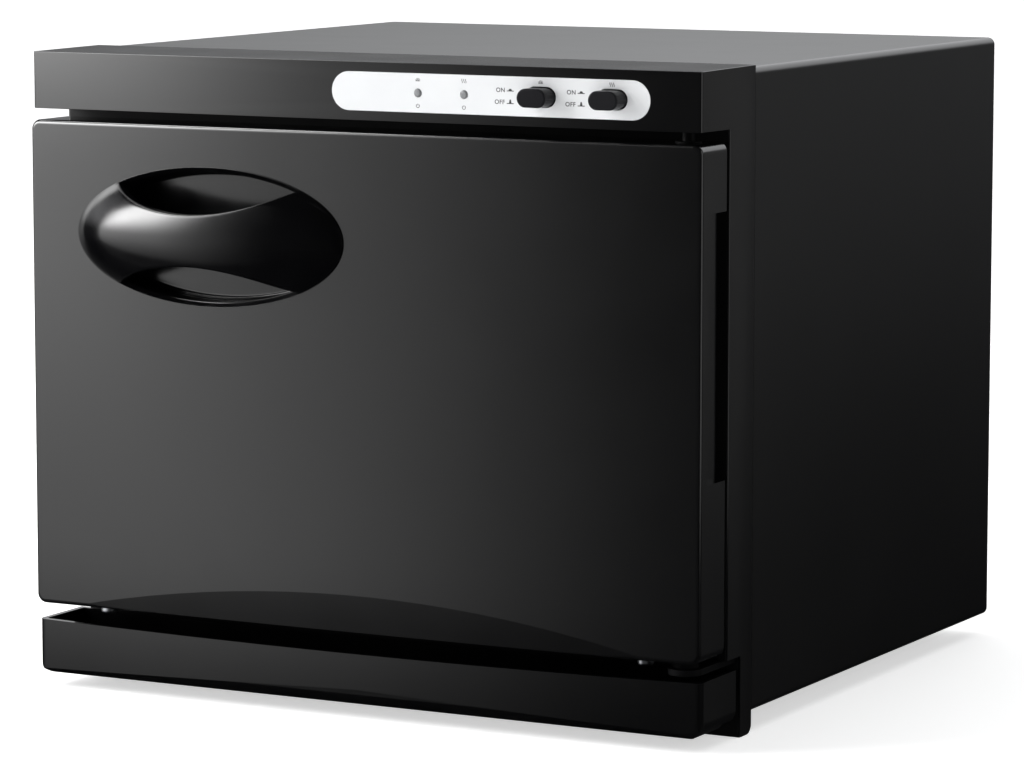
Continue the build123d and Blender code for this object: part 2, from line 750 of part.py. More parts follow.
# Ballast and terminal block on the base plate, in the space behind the chamber
bay_middle = (liner_back + insulation + flange_y) / 2
with BuildPart() as uv_ballast:
    box_between((ballast_x - ballast_length / 2, bay_middle - ballast_depth / 2, base_top),
                (ballast_x + ballast_length / 2, bay_middle + ballast_depth / 2,
                 base_top + ballast_height))
    fillet(uv_ballast.edges().filter_by(Axis.X).group_by(Axis.Z)[-1], ear_thickness)
    box_between((ballast_x - ballast_length / 2 - ballast_ear, bay_middle - ear_width / 2,
                 base_top),
                (ballast_x + ballast_length / 2 + ballast_ear, bay_middle + ear_width / 2,
                 base_top + ear_thickness))
keep(uv_ballast.part, "uv_ballast")
way_pitch = terminal_length / terminal_ways
terminal_top = base_top + terminal_height
with BuildPart() as terminal_block:
    box_between((terminal_x - terminal_length / 2, bay_middle - terminal_depth / 2, base_top),
                (terminal_x + terminal_length / 2, bay_middle + terminal_depth / 2, terminal_top))
    with BuildSketch(Plane.XY.offset(terminal_top)):
        with Locations((terminal_x, bay_middle)):
            with GridLocations(way_pitch, terminal_depth / 2, terminal_ways, 2):
                Circle(terminal_hole / 2)
    extrude(amount=-terminal_height / 2, mode=Mode.SUBTRACT)
keep(terminal_block.part, "terminal_block")

# Switches behind the strip, on one folded bracket
bracket_y = face_y + button_inside + button_travel + seat_gap
bracket_back = bracket_y + bracket_sheet
floor_z = strip_bottom + frame_wall
ceiling_z = strip_top - frame_wall
bracket_left = button_centres[0] - switch_width / 2 - bracket_end
bracket_right = button_centres[1] + switch_width / 2 + bracket_end
with BuildPart() as switch_bracket:
    box_between((bracket_left, bracket_y, floor_z),
                (bracket_right, bracket_back, ceiling_z - board_margin))
    box_between((bracket_left, bracket_y, floor_z),
                (bracket_right, bracket_y + bracket_foot, floor_z + bracket_sheet))
    drill(front_plane(bracket_y), button_spots, stem_diameter + 2 * shaft_fit, bracket_sheet)
keep(switch_bracket.part, "switch_bracket")
for (x, z), name in zip(button_spots, ("switch_body_uv", "switch_body_heat")):
    with BuildPart() as switch_body:
        box_between((x - switch_width / 2, bracket_back, z - switch_height / 2),
                    (x + switch_width / 2, bracket_back + switch_depth, z + switch_height / 2))
        drill(front_plane(bracket_back), [(x, z)], stem_diameter + 2 * shaft_fit,
              stem_length + button_travel)
        with BuildSketch(front_plane(bracket_back + switch_depth)):
            with Locations((x - tab_spacing / 2, z), (x + tab_spacing / 2, z)):
                Rectangle(recess_width, tab_height)
        extrude(amount=-tab_length)
    keep(switch_body.part, name)

# Push buttons: oval caps on stems
cap_rear = face_y + button_inside
for (x, z), name in zip(button_spots, ("button_uv", "button_heat")):
    with BuildPart() as button:
        with BuildSketch(front_plane(cap_rear)):
            with Locations((x, z)):
                SlotOverall(button_length, button_height)
        extrude(amount=button_inside + button_proud)
        fillet(button.edges().group_by(Axis.Y)[0], button_edge)
        with BuildSketch(front_plane(cap_rear)):
            with Locations((x, z)):
                Circle(stem_diameter / 2)
        extrude(amount=-(bracket_back - cap_rear + stem_length))
    keep(button.part, name)

# Indicator lenses, the board behind them and the white label round all of it
board_y = face_y + frame_wall + standoff_height
for (x, z), name in zip(indicator_spots, ("indicator_lens_uv", "indicator_lens_heat")):
    with BuildPart() as lens:
        with BuildSketch(front_plane(board_y)):
            with Locations((x, z)):
                Circle(indicator_diameter / 2)
        extrude(amount=board_y - face_y + indicator_proud)
        fillet(lens.edges().group_by(Axis.Y)[0], indicator_dome)
    keep(lens.part, name)
keep(block((board_middle - board_half, board_y, strip_middle - board_height / 2),
           (board_middle + board_half, board_y + board_thickness, strip_middle + board_height / 2)),
     "indicator_board")
with BuildPart() as control_label:
    with BuildSketch(front_plane(face_y)):
        with Locations((label_centre, strip_middle)):
            SlotOverall(label_length, label_height)
        with Locations(*button_spots):
            SlotOverall(button_length + 2 * button_fit, button_height + 2 * button_fit,
                        mode=Mode.SUBTRACT)
        with Locations(*indicator_spots):
            Circle(indicator_diameter / 2 + indicator_fit, mode=Mode.SUBTRACT)
    extrude(amount=label_thickness)
keep(control_label.part, "control_label")

# Wiring: one lead from the terminal block over the insulation to each switch
loom_z = liner_high + insulation + seat_gap + loom_diameter / 2
loom_rise_y = liner_front + loom_setback
loom_end_y = bracket_back + switch_depth + tab_length
for x, side, name in zip(button_centres, (-1, 1), ("switch_lead_uv", "switch_lead_heat")):
    start_x = terminal_x + side * way_pitch
    with BuildPart() as lead:
        with BuildLine() as route:
            FilletPolyline((start_x, bay_middle, terminal_top), (start_x, bay_middle, loom_z),
                           (x, loom_rise_y, loom_z), (x, loom_rise_y, strip_middle),
                           (x, loom_end_y, strip_middle), radius=loom_bend)
        with BuildSketch(Plane(origin=route.line @ 0, z_dir=route.line % 0)):
            Circle(loom_diameter / 2)
        sweep()
    keep(lead.part, name)

# Lower hinge bracket under the right column, with its pin and screws
bracket_low = bay_top - bracket_thickness
with BuildPart() as hinge_bracket_lower:
    with BuildSketch(Plane.XY.offset(bracket_low)):
        with Locations((hinge_x, hinge_y)):
            Circle(bracket_half)
        with Locations((hinge_x, (hinge_y + foot_y - seam_fit) / 2)):
            Rectangle(2 * bracket_half, foot_y - seam_fit - hinge_y)
    extrude(amount=bracket_thickness)
    drill(under_plane(bracket_low), [(hinge_x, -hinge_y)], pin_diameter + 2 * shaft_fit,
          bracket_thickness)
    sink(under_plane(bracket_low), hinge_screw_spots, bracket_thickness)
keep(hinge_bracket_lower.part, "hinge_bracket_lower")
hinge_nuts_z = bay_top + frame_wall
keep(flush_screws(under_plane(bracket_low), hinge_screw_spots,
                  hinge_nuts_z + screw_shank - bracket_low), "hinge_screws")
with BuildPart() as hinge_pin_lower:
    with BuildSketch(Plane.XY.offset(bracket_low)):
        with Locations((hinge_x, hinge_y)):
            Circle(pin_diameter / 2)
    extrude(amount=door_bottom + pin_reach - bracket_low)
    chamfer(hinge_pin_lower.edges().group_by(Axis.Z)[-1], pin_taper)
keep(hinge_pin_lower.part, "hinge_pin_lower")

# Upper hinge pin, dropped through the control strip's floor
with BuildPart() as hinge_pin_upper:
    with BuildSketch(Plane.XY.offset(floor_z)):
        with Locations((hinge_x, hinge_y)):
            Circle(pin_head / 2)
    extrude(amount=pin_head_height)
    fillet(hinge_pin_upper.edges().group_by(Axis.Z)[-1], pin_head_round)
    with BuildSketch(Plane.XY.offset(floor_z)):
        with Locations((hinge_x, hinge_y)):
            Circle(pin_diameter / 2)
    extrude(amount=-(floor_z - door_top + pin_reach))
    chamfer(hinge_pin_upper.edges().group_by(Axis.Z)[0], pin_taper)
keep(hinge_pin_upper.part, "hinge_pin_upper")

# Magnet catch in the left column, held by a flange behind the frame's face
magnet_x = magnet_inset - half_width
magnet_y = door_rear + strike_thickness + bearing_gap
with BuildPart() as magnet_catch:
    box_between((magnet_x - magnet_width / 2, magnet_y, door_middle - magnet_length / 2),
                (magnet_x + magnet_width / 2, magnet_y + magnet_depth,
                 door_middle + magnet_length / 2))
    fillet(magnet_catch.edges().group_by(Axis.Y)[0], seam_fit)
    box_between((magnet_x - magnet_width / 2 - frame_wall + panel_fit, liner_front,
                 door_middle - magnet_length / 2 - frame_wall),
                (magnet_x + magnet_width / 2 + frame_wall - panel_fit, liner_front + magnet_flange,
                 door_middle + magnet_length / 2 + frame_wall))
keep(magnet_catch.part, "magnet_catch")

# Door shell: moulded plastic, open to the back
boss_low = door_bottom + door_wall + boss_height
boss_high = door_top - door_wall - boss_height
post_x = door_half - post_inset_x
post_spots = [(side * post_x, z) for side in (-1, 1)
              for z in (door_bottom + post_inset_z, door_top - post_inset_z)]
door_screw_x = door_half - door_screw_inset
door_screw_y = door_front + door_screw_setback
rebate_low = door_bottom + rebate_rise
rebate_high = rebate_low + rebate_length
rebate_x = door_half - rebate_depth
rebate_y = door_front + rebate_setback
bush_outer = pin_diameter + 2 * (shaft_fit + bush_wall)
scoop_tilt = math.atan2(scoop_depth, scoop_height)
handle_plane = Plane(origin=(handle_x, door_front, handle_z), x_dir=(1, 0, 0), z_dir=(0, -1, 0))
with BuildPart() as door_panel:
    with BuildSketch(front_plane(door_rear)):
        with Locations((0, door_middle)):
            RectangleRounded(2 * door_half, door_height, door_corner)
    extrude(amount=door_thickness)
    fillet(door_panel.faces().sort_by(Axis.Y)[0].edges(), door_edge)
    # Shallow hollow across the foot, cut along a line that leans out of the door as it rises
    with BuildSketch(Plane(origin=(0, door_front, door_bottom), x_dir=(1, 0, 0),
                           z_dir=(0, -math.sin(scoop_tilt), math.cos(scoop_tilt)))):
        with BuildLine():
            ThreePointArc((-scoop_half_width, 0), (0, scoop_depth), (scoop_half_width, 0))
            Polyline((scoop_half_width, 0), (scoop_half_width, -door_thickness),
                     (-scoop_half_width, -door_thickness), (-scoop_half_width, 0))
        make_face()
    extrude(amount=scoop_height + door_edge, both=True, mode=Mode.SUBTRACT)
    # Hollow behind the front wall
    with BuildSketch(front_plane(door_rear)):
        with Locations((0, door_middle)):
            RectangleRounded(2 * (door_half - door_wall), door_height - 2 * door_wall,
                             door_corner - door_wall)
    extrude(amount=door_thickness - door_wall, mode=Mode.SUBTRACT)
    # Bosses for the hinge bushes and the screws, posts for the inner panel
    for low, high in ((door_bottom + door_wall, boss_low), (boss_high, door_top - door_wall)):
        box_between((hinge_x - boss_half, door_front + door_wall, low),
                    (door_half - door_wall, hinge_y + boss_half, high))
    for side in (-1, 1):
        box_between((side * door_screw_x - screw_head, door_front + door_wall,
                     door_bottom + door_wall),
                    (side * door_screw_x + screw_head, door_screw_y + screw_head / 2, boss_low))
    with BuildSketch(front_plane(inner_panel_y)):
        with Locations(*post_spots):
            Circle(post_diameter / 2)
    extrude(amount=inner_panel_y - door_front - door_wall)
    # Finger rebate in the right side, open to the back
    box_between((rebate_x - door_wall, rebate_y - door_wall, rebate_low - door_wall),
                (door_half - door_wall / 2, door_rear, rebate_high + door_wall))
    box_between((rebate_x, rebate_y, rebate_low), (door_half + door_wall, door_rear, rebate_high),
                mode=Mode.SUBTRACT)
    # Holes
    with BuildSketch(handle_plane):
        Ellipse(handle_half_length - rim_width, handle_half_height - rim_width)
    extrude(amount=-door_wall, mode=Mode.SUBTRACT)
    drill(Plane.XY.offset(door_top), [(hinge_x, hinge_y)], bush_outer + 2 * shaft_fit,
          bush_length + bearing_gap)
    drill(under_plane(door_bottom), [(hinge_x, -hinge_y)], bush_outer + 2 * shaft_fit,
          bush_length + bearing_gap)
    drill(under_plane(door_bottom), [(-door_screw_x, -door_screw_y), (door_screw_x, -door_screw_y)],
          screw_hole, screw_length)
    drill(back_plane(inner_panel_y), post_spots, screw_hole, screw_length)
keep(door_panel.part, "door_panel")
keep(pan_screws(under_plane(door_bottom),
                [(-door_screw_x, -door_screw_y), (door_screw_x, -door_screw_y)],
                screw_length - bearing_gap, door_screw_height), "door_screws")

# Hinge bushes pressed into the door
for name, plane, flange in (
        ("hinge_bush_upper", Plane.XY.offset(door_top), bush_flange_upper),
        ("hinge_bush_lower", under_plane(door_bottom), door_foot_gap - bearing_gap)):
    spot = (hinge_x, hinge_y if plane.z_dir.Z > 0 else -hinge_y)
    with BuildPart() as hinge_bush:
        with BuildSketch(plane):
            with Locations(spot):
                Circle(bush_flange / 2)
        extrude(amount=flange)
        with BuildSketch(plane):
            with Locations(spot):
                Circle(bush_outer / 2)
        extrude(amount=-bush_length)
        drill(plane.offset(flange), [spot], pin_diameter + 2 * shaft_fit, flange + bush_length)
    keep(hinge_bush.part, name)

# Inner panel that closes the door's back, with its screws, seal and strike plate
notch_x = rebate_x - door_wall - panel_fit
with BuildPart() as door_inner_panel:
    with BuildSketch(back_plane(inner_panel_y)):
        with Locations((0, door_middle)):
            RectangleRounded(2 * (door_half - door_wall - panel_fit),
                             door_height - 2 * (door_wall + panel_fit), door_corner - door_wall)
    extrude(amount=inner_panel_wall)
    box_between((notch_x, inner_panel_y, rebate_low - door_wall - panel_fit),
                (door_half, door_rear, rebate_high + door_wall + panel_fit), mode=Mode.SUBTRACT)
    drill(back_plane(door_rear), post_spots, screw_hole, inner_panel_wall)
keep(door_inner_panel.part, "door_inner_panel")
keep(pan_screws(back_plane(door_rear), post_spots,
                inner_panel_wall + screw_length - bearing_gap), "inner_panel_screws")
seal_width = mouth_width + 2 * gasket_margin
seal_height = mouth_height + 2 * gasket_margin
with BuildPart() as door_gasket:
    with BuildSketch(back_plane(door_rear)):
        with Locations((0, door_middle)):
            RectangleRounded(seal_width + 2 * gasket_width, seal_height + 2 * gasket_width,
                             chamber_corner + gasket_margin + gasket_width)
            RectangleRounded(seal_width, seal_height, chamber_corner + gasket_margin,
                             mode=Mode.SUBTRACT)
    extrude(amount=door_gap - bearing_gap)
    fillet(door_gasket.edges().group_by(Axis.Y)[-1], gasket_round)
keep(door_gasket.part, "door_gasket")
keep(block((magnet_x - magnet_width / 2, door_rear, door_middle - magnet_length / 2),
           (magnet_x + magnet_width / 2, door_rear + strike_thickness,
            door_middle + magnet_length / 2)), "strike_plate")

# Foam core between the shell and the inner panel, cut out round the handle's dish
with BuildPart() as door_foam:
    box_between((-post_x + post_diameter / 2 + foam_pocket, door_front + door_wall,
                 boss_low + foam_pocket),
                (hinge_x - boss_half - foam_pocket, inner_panel_y, boss_high - foam_pocket))
    with BuildSketch(handle_plane.offset(-door_wall)):
        Ellipse(handle_half_length - rim_width + foam_pocket,
                handle_half_height - rim_width + foam_pocket)
    extrude(amount=-door_thickness, mode=Mode.SUBTRACT)
keep(door_foam.part, "door_foam")

# Handle: an oval dish let into the door and a hollow grip that bridges it
rim_plane = handle_plane.offset(rim_height)
bowl_half_length = handle_half_length - rim_width - seam_fit
bowl_half_height = handle_half_height - rim_width - seam_fit


def bowl(inset, depth, floor_round):
    """Oval cup behind the rim's plane, drawn in by an inset."""
    with BuildPart() as cup:
        with BuildSketch(rim_plane):
            Ellipse(bowl_half_length - inset, bowl_half_height - inset)
        extrude(amount=-depth)
        fillet(cup.edges().group_by(Axis.Y)[-1], floor_round)
    return cup.part


with BuildPart() as handle_dish:
    with BuildSketch(rim_plane):
        Ellipse(handle_half_length, handle_half_height)
    extrude(amount=-rim_height)
    add(bowl(0, dish_depth + dish_wall, dish_round + dish_wall))
    add(bowl(dish_wall, dish_depth, dish_round), mode=Mode.SUBTRACT)
keep(handle_dish.part, "handle_dish")

grip_axis_depth = (handle_half_height ** 2 - handle_bulge ** 2) / (2 * handle_bulge)
crown_radius = handle_bulge + grip_axis_depth
crown_half = handle_half_length / math.sqrt(1 - (grip_axis_depth / crown_radius) ** 2)
grip_plane = rim_plane.offset(-grip_axis_depth)
flare_height = handle_half_height * math.sqrt(1 - (grip_flare / handle_half_length) ** 2)
grip_end = handle_half_length + grip_trim


def crown(inset):
    """Long rounded body turned about the grip's axis, drawn in by an inset."""
    half_length = crown_half - inset
    with BuildPart() as body:
        with BuildSketch(grip_plane):
            with BuildLine():
                EllipticalCenterArc((0, 0), half_length, crown_radius - inset,
                                    start_angle=0, arc_size=180)
                Line((-half_length, 0), (half_length, 0))
            make_face()
        revolve(axis=Axis(grip_plane.origin, (1, 0, 0)))
    return body.part


with BuildPart() as handle_grip:
    add(crown(0))
    add(crown(grip_wall), mode=Mode.SUBTRACT)
    with BuildSketch(rim_plane):
        with BuildLine():
            ThreePointArc((-grip_flare, flare_height), (0, grip_waist), (grip_flare, flare_height))
            Polyline((grip_flare, flare_height), (grip_end, flare_height),
                     (grip_end, -flare_height), (grip_flare, -flare_height))
            ThreePointArc((grip_flare, -flare_height), (0, -grip_waist),
                          (-grip_flare, -flare_height))
            Polyline((-grip_flare, -flare_height), (-grip_end, -flare_height),
                     (-grip_end, flare_height), (-grip_flare, flare_height))
        make_face()
    extrude(amount=handle_bulge + grip_trim, mode=Mode.INTERSECT)
keep(handle_grip.part, "handle_grip")


# Drip tray: a bowed trough with rounded bottom edges and two tongues that slide in the foot bar
def tray_form(inset, top, dip):
    """Inside or outside of the tray: three views drawn in by an inset and crossed."""
    half = tray_half - inset
    low = tray_bottom + inset
    front = tray_front + inset
    rear = tray_rear - inset
    bottom_round = tray_round - inset
    with BuildPart() as form:
        with BuildSketch(Plane.XY.offset(low)) as plan:
            with BuildLine():
                ThreePointArc((-half, front), (0, front - tray_bow), (half, front))
                Polyline((half, front), (half, rear), (-half, rear), (-half, front))
            make_face()
            fillet(plan.vertices().group_by(Axis.Y)[0], tray_corner - inset / 2)
        extrude(amount=top - low)
        with BuildSketch(front_plane(rear)) as elevation:
            with BuildLine():
                ThreePointArc((-half, top), (0, top - dip), (half, top))
                Polyline((half, top), (half, low), (-half, low), (-half, top))
            make_face()
            fillet(elevation.vertices().group_by(Axis.Y)[0], bottom_round)
        extrude(amount=rear - front + 2 * tray_bow, mode=Mode.INTERSECT)
        with BuildSketch(Plane.YZ.offset(-half)) as section:
            with BuildLine():
                Polyline((front - tray_bow, top), (front - tray_bow, low), (rear, low),
                         (rear, top), close=True)
            make_face()
            fillet(section.vertices().group_by(Axis.Y)[0], bottom_round)
        extrude(amount=2 * half, mode=Mode.INTERSECT)
    return form.part


tongue_end = foot_y + frame_wall + tray_travel + tongue_grip
with BuildPart() as drip_tray:
    add(tray_form(0, tray_top, tray_dip))
    add(tray_form(tray_wall, tray_top + tray_wall, seam_fit), mode=Mode.SUBTRACT)
    for side in (-1, 1):
        middle = side * tongue_x
        box_between((middle - tongue_width / 2, tray_rear - tray_wall / 2, tongue_bottom),
                    (middle + tongue_width / 2, tongue_end, tongue_bottom + tongue_thickness))
keep(drip_tray.part, "drip_tray")

# Wire basket that stands on the chamber's floor
basket_x = chamber_width / 2 - basket_margin
basket_front = liner_front + basket_margin
basket_rear = liner_rear - basket_margin
basket_step = basket_wire - basket_bite
basket_low = chamber_bottom + seat_gap + basket_wire / 2
basket_top = basket_low + basket_height
long_wires = 2 * int((basket_x - basket_bend) / basket_pitch) + 1
cross_wires = int((basket_rear - basket_front - 2 * basket_bend) / basket_cross_pitch) + 1


def bent_wire(*points):
    """Round wire along straight runs with rounded corners."""
    with BuildPart() as strand:
        with BuildLine() as route:
            FilletPolyline(*points, radius=basket_bend)
        with BuildSketch(Plane(origin=route.line @ 0, z_dir=route.line % 0)):
            Circle(basket_wire / 2)
        sweep()
    return strand.part


with BuildPart() as towel_basket:
    for z in (basket_low + basket_height / 2, basket_top):
        add(bent_wire((0, basket_front, z), (basket_x, basket_front, z),
                      (basket_x, basket_rear, z), (0, basket_rear, z)))
    mirror(about=Plane.YZ)
    for i in range(long_wires):
        x = (i - (long_wires - 1) / 2) * basket_pitch
        add(bent_wire((x, basket_front + basket_step, basket_top),
                      (x, basket_front + basket_step, basket_low + basket_step),
                      (x, basket_rear - basket_step, basket_low + basket_step),
                      (x, basket_rear - basket_step, basket_top)))
    for i in range(cross_wires):
        y = (basket_front + basket_rear) / 2 + (i - (cross_wires - 1) / 2) * basket_cross_pitch
        add(bent_wire((-basket_x + basket_step, y, basket_top),
                      (-basket_x + basket_step, y, basket_low),
                      (basket_x - basket_step, y, basket_low),
                      (basket_x - basket_step, y, basket_top)))
keep(towel_basket.part, "towel_basket")
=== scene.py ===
import math

import bmesh
import bpy
from mathutils import Matrix, Vector


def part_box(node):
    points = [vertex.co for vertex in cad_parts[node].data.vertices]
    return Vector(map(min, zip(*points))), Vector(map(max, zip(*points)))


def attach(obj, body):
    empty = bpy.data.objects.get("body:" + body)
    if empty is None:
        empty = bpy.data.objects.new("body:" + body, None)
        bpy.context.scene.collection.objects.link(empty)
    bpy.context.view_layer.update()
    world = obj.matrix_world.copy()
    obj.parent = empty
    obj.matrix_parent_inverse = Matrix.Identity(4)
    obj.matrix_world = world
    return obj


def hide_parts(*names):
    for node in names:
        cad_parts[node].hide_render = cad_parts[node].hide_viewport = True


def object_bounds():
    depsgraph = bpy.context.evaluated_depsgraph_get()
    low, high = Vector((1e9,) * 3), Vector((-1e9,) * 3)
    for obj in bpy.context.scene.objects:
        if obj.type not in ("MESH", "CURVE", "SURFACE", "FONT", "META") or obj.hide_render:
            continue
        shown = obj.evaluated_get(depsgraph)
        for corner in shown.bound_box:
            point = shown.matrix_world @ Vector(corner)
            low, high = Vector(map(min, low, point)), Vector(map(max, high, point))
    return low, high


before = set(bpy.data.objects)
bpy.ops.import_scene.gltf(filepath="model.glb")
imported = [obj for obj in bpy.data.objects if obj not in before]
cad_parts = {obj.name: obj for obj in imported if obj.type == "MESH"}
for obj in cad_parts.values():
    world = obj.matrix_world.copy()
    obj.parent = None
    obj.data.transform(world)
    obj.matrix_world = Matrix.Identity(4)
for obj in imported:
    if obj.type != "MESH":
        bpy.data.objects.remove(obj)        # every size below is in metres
cad_low, cad_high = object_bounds()

# Front frame: the control strip, the two side columns, the face round the chamber's mouth
# and the foot bar. One moulding in black ABS with a fine spark texture; its rear lip slips
# into the steel cabinet, and its two feet carry the front of the warmer.
mm = 0.001
weld_reach = 0.002 * mm          # corners of the solids closer than this are one corner
crease = math.radians(28)        # edges sharper than this get a small round
side_skin = 0.6 * mm             # the frame keeps its full mirror this far in from its sides, face and roof; each fades out over its own width again into the painted shade of the faces the door covers
face_band = 8.0 * mm             # fades out over its own width again
roof_band = 4.0 * mm


def start_material(name, colour, roughness, metallic=0.0):
    """A new node material with its plain values on the shader itself."""
    material = bpy.data.materials.new(name)
    material.use_nodes = True
    tree = material.node_tree
    shader = tree.nodes["Principled BSDF"]
    shader.inputs["Base Color"].default_value = (*colour, 1.0)
    shader.inputs["Roughness"].default_value = roughness
    shader.inputs["Metallic"].default_value = metallic
    return material, tree, shader


def grain(tree, size, detail=2.0, stretch=(1.0, 1.0, 1.0)):
    """Noise fixed to the object, with grains of this size."""
    place = tree.nodes.new("ShaderNodeTexCoord")
    scaled = tree.nodes.new("ShaderNodeMapping")
    scaled.inputs["Scale"].default_value = [share / size for share in stretch]
    noise = tree.nodes.new("ShaderNodeTexNoise")
    noise.inputs["Scale"].default_value = 1.0
    noise.inputs["Detail"].default_value = detail
    tree.links.new(place.outputs["Object"], scaled.inputs["Vector"])
    tree.links.new(scaled.outputs["Vector"], noise.inputs["Vector"])
    return noise.outputs["Fac"]


def spread(tree, pattern, low, high):
    """A pattern's middle range stretched between two values."""
    span = tree.nodes.new("ShaderNodeMapRange")
    span.inputs["From Min"].default_value = 0.3
    span.inputs["From Max"].default_value = 0.7
    span.inputs["To Min"].default_value = low
    span.inputs["To Max"].default_value = high
    tree.links.new(pattern, span.inputs["Value"])
    return span.outputs["Result"]


def wander(tree, shader, pattern, dark, light):
    """Base colour that drifts between two tones along a pattern."""
    tones = tree.nodes.new("ShaderNodeMix")
    tones.data_type = "RGBA"
    tones.inputs["A"].default_value = (*dark, 1.0)
    tones.inputs["B"].default_value = (*light, 1.0)
    tree.links.new(spread(tree, pattern, 0.0, 1.0), tones.inputs["Factor"])
    tree.links.new(tones.outputs["Result"], shader.inputs["Base Color"])


def emboss(tree, shader, pattern, height):
    """Surface relief of this height along a pattern."""
    relief = tree.nodes.new("ShaderNodeBump")
    relief.inputs["Strength"].default_value = 1.0
    relief.inputs["Distance"].default_value = height
    tree.links.new(pattern, relief.inputs["Height"])
    tree.links.new(relief.outputs["Normal"], shader.inputs["Normal"])


def ramp(tree, value, start, end, low, high):
    """Smooth rise from low at start to high at end."""
    rise = tree.nodes.new("ShaderNodeMapRange")
    rise.interpolation_type = "SMOOTHSTEP"
    rise.inputs["From Min"].default_value = start
    rise.inputs["From Max"].default_value = end
    rise.inputs["To Min"].default_value = low
    rise.inputs["To Max"].default_value = high
    tree.links.new(value, rise.inputs["Value"])
    return rise.outputs["Result"]


def place_parts(tree, source="Object"):
    """X, Y and Z of a place on the object or, from "Generated", of a direction in the sky."""
    place = tree.nodes.new("ShaderNodeTexCoord")
    parts = tree.nodes.new("ShaderNodeSeparateXYZ")
    tree.links.new(place.outputs[source], parts.inputs["Vector"])
    return parts.outputs


def combine(tree, operation, one, two):
    """Two values added or multiplied."""
    maths = tree.nodes.new("ShaderNodeMath")
    maths.operation = operation
    tree.links.new(one, maths.inputs[0])
    tree.links.new(two, maths.inputs[1])
    return maths.outputs["Value"]


def moulded_black(name, sheen, texture_height, mirror=0.5, tone=0.0018):
    """Black ABS from a spark-textured mould: satin, with faint drifts in its gloss."""
    tone_dark = (0.8 * tone, 0.8 * tone, 0.9 * tone)
    tone_light = (1.2 * tone, 1.2 * tone, 1.3 * tone)
    material, tree, shader = start_material(name, tone_light, sheen)
    wander(tree, shader, grain(tree, 45 * mm), tone_dark, tone_light)
    drift = spread(tree, grain(tree, 28 * mm, 3.0), sheen - 0.02, sheen + 0.02)
    tree.links.new(drift, shader.inputs["Roughness"])
    shader.inputs["Specular IOR Level"].default_value = mirror
    emboss(tree, shader, grain(tree, 0.32 * mm, 1.0), texture_height)
    return material


def dress(name, material, rounding=0.0, clamp=True):
    """Give a solid of the frame its finish and, where asked, its sharp edges a small round."""
    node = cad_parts[name]
    node.data.materials.clear()
    node.data.materials.append(material)
    if rounding == 0:
        return
    if "custom_normal" in node.data.attributes:
        node.data.attributes.remove(node.data.attributes["custom_normal"])
    node.data.shade_smooth()
    weld = node.modifiers.new("weld", "WELD")
    weld.merge_threshold = weld_reach
    edge = node.modifiers.new("edge", "BEVEL")
    edge.width = rounding
    edge.segments = 3
    edge.limit_method = "ANGLE"
    edge.angle_limit = crease
    edge.use_clamp_overlap = clamp
    edge.miter_outer = "MITER_ARC"
    edge.harden_normals = True


def frame_moulding(name, sheen, mirror, shaded_mirror, shaded_coarseness):
    """The frame's ABS: polished outside; where the door covers it, rough and with its mirror
    turned down, a painted shade that keeps the gap round the door dark.
    """
    material = moulded_black(name, sheen, 0.0006 * mm)
    tree = material.node_tree
    shader = tree.nodes["Principled BSDF"]
    parts = place_parts(tree)
    width = tree.nodes.new("ShaderNodeMath")
    width.operation = "ABSOLUTE"
    tree.links.new(parts["X"], width.inputs[0])
    frame_low, frame_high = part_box("front_frame")
    side, face, roof = frame_high.x, frame_low.y, frame_high.z
    inside = ramp(tree, width.outputs["Value"], side - side_skin, side - 2 * side_skin, 0.0, 1.0)
    behind = ramp(tree, parts["Y"], face + face_band, face + 2 * face_band, 0.0, 1.0)
    under = ramp(tree, parts["Z"], roof - roof_band, roof - 2 * roof_band, 0.0, 1.0)
    # painted shade: faces deep behind the front, inside the sides and under the roof lose most of
    # their mirror
    painted_shade = combine(tree, "MULTIPLY", combine(tree, "MULTIPLY", inside, behind), under)
    gloss = shader.inputs["Roughness"].links[0].from_socket
    coarse = ramp(tree, painted_shade, 0.0, 1.0, 0.0, shaded_coarseness)
    tree.links.new(combine(tree, "ADD", gloss, coarse), shader.inputs["Roughness"])
    tree.links.new(ramp(tree, painted_shade, 0.0, 1.0, mirror, shaded_mirror),
                   shader.inputs["Specular IOR Level"])
    return material


# the rougher, duller faces behind the door are painted shade in the gap
frame_black = frame_moulding("satin_abs", 0.10, mirror=0.42, shaded_mirror=0.12,
                             shaded_coarseness=0.5)
dress("front_frame", frame_black, 0.2 * mm, clamp=False)

# Cabinet cover: the steel wrapper that gives the warmer its sides, roof and floor lips.
# 1 mm sheet folded on long 3 mm bends, powder coated in fine black, and slipped over the
# frame's rear lip.
coat_black = (0.0026, 0.0026, 0.0028)


def powder_coat(name, sheen):
    """Baked powder on sheet steel: a fine orange peel over satin black."""
    material, tree, shader = start_material(name, coat_black, sheen)
    wander(tree, shader, grain(tree, 60 * mm), (0.0018, 0.0018, 0.0020), coat_black)
    drift = spread(tree, grain(tree, 35 * mm, 1.0), sheen - 0.006, sheen + 0.006)
    tree.links.new(drift, shader.inputs["Roughness"])
    emboss(tree, shader, grain(tree, 0.7 * mm, 2.0), 0.005 * mm)
    return material


coated_steel = powder_coat("fine_powder_coat", 0.28)
dress("cabinet_cover", coated_steel, 0.2 * mm)

# Rear panel and base plate: flat steel sheets with punched vents. The rear panel is powder
# coated and screwed to the cover's folded flange; the base plate is zinc plated and lies on
# the cover's floor lips.


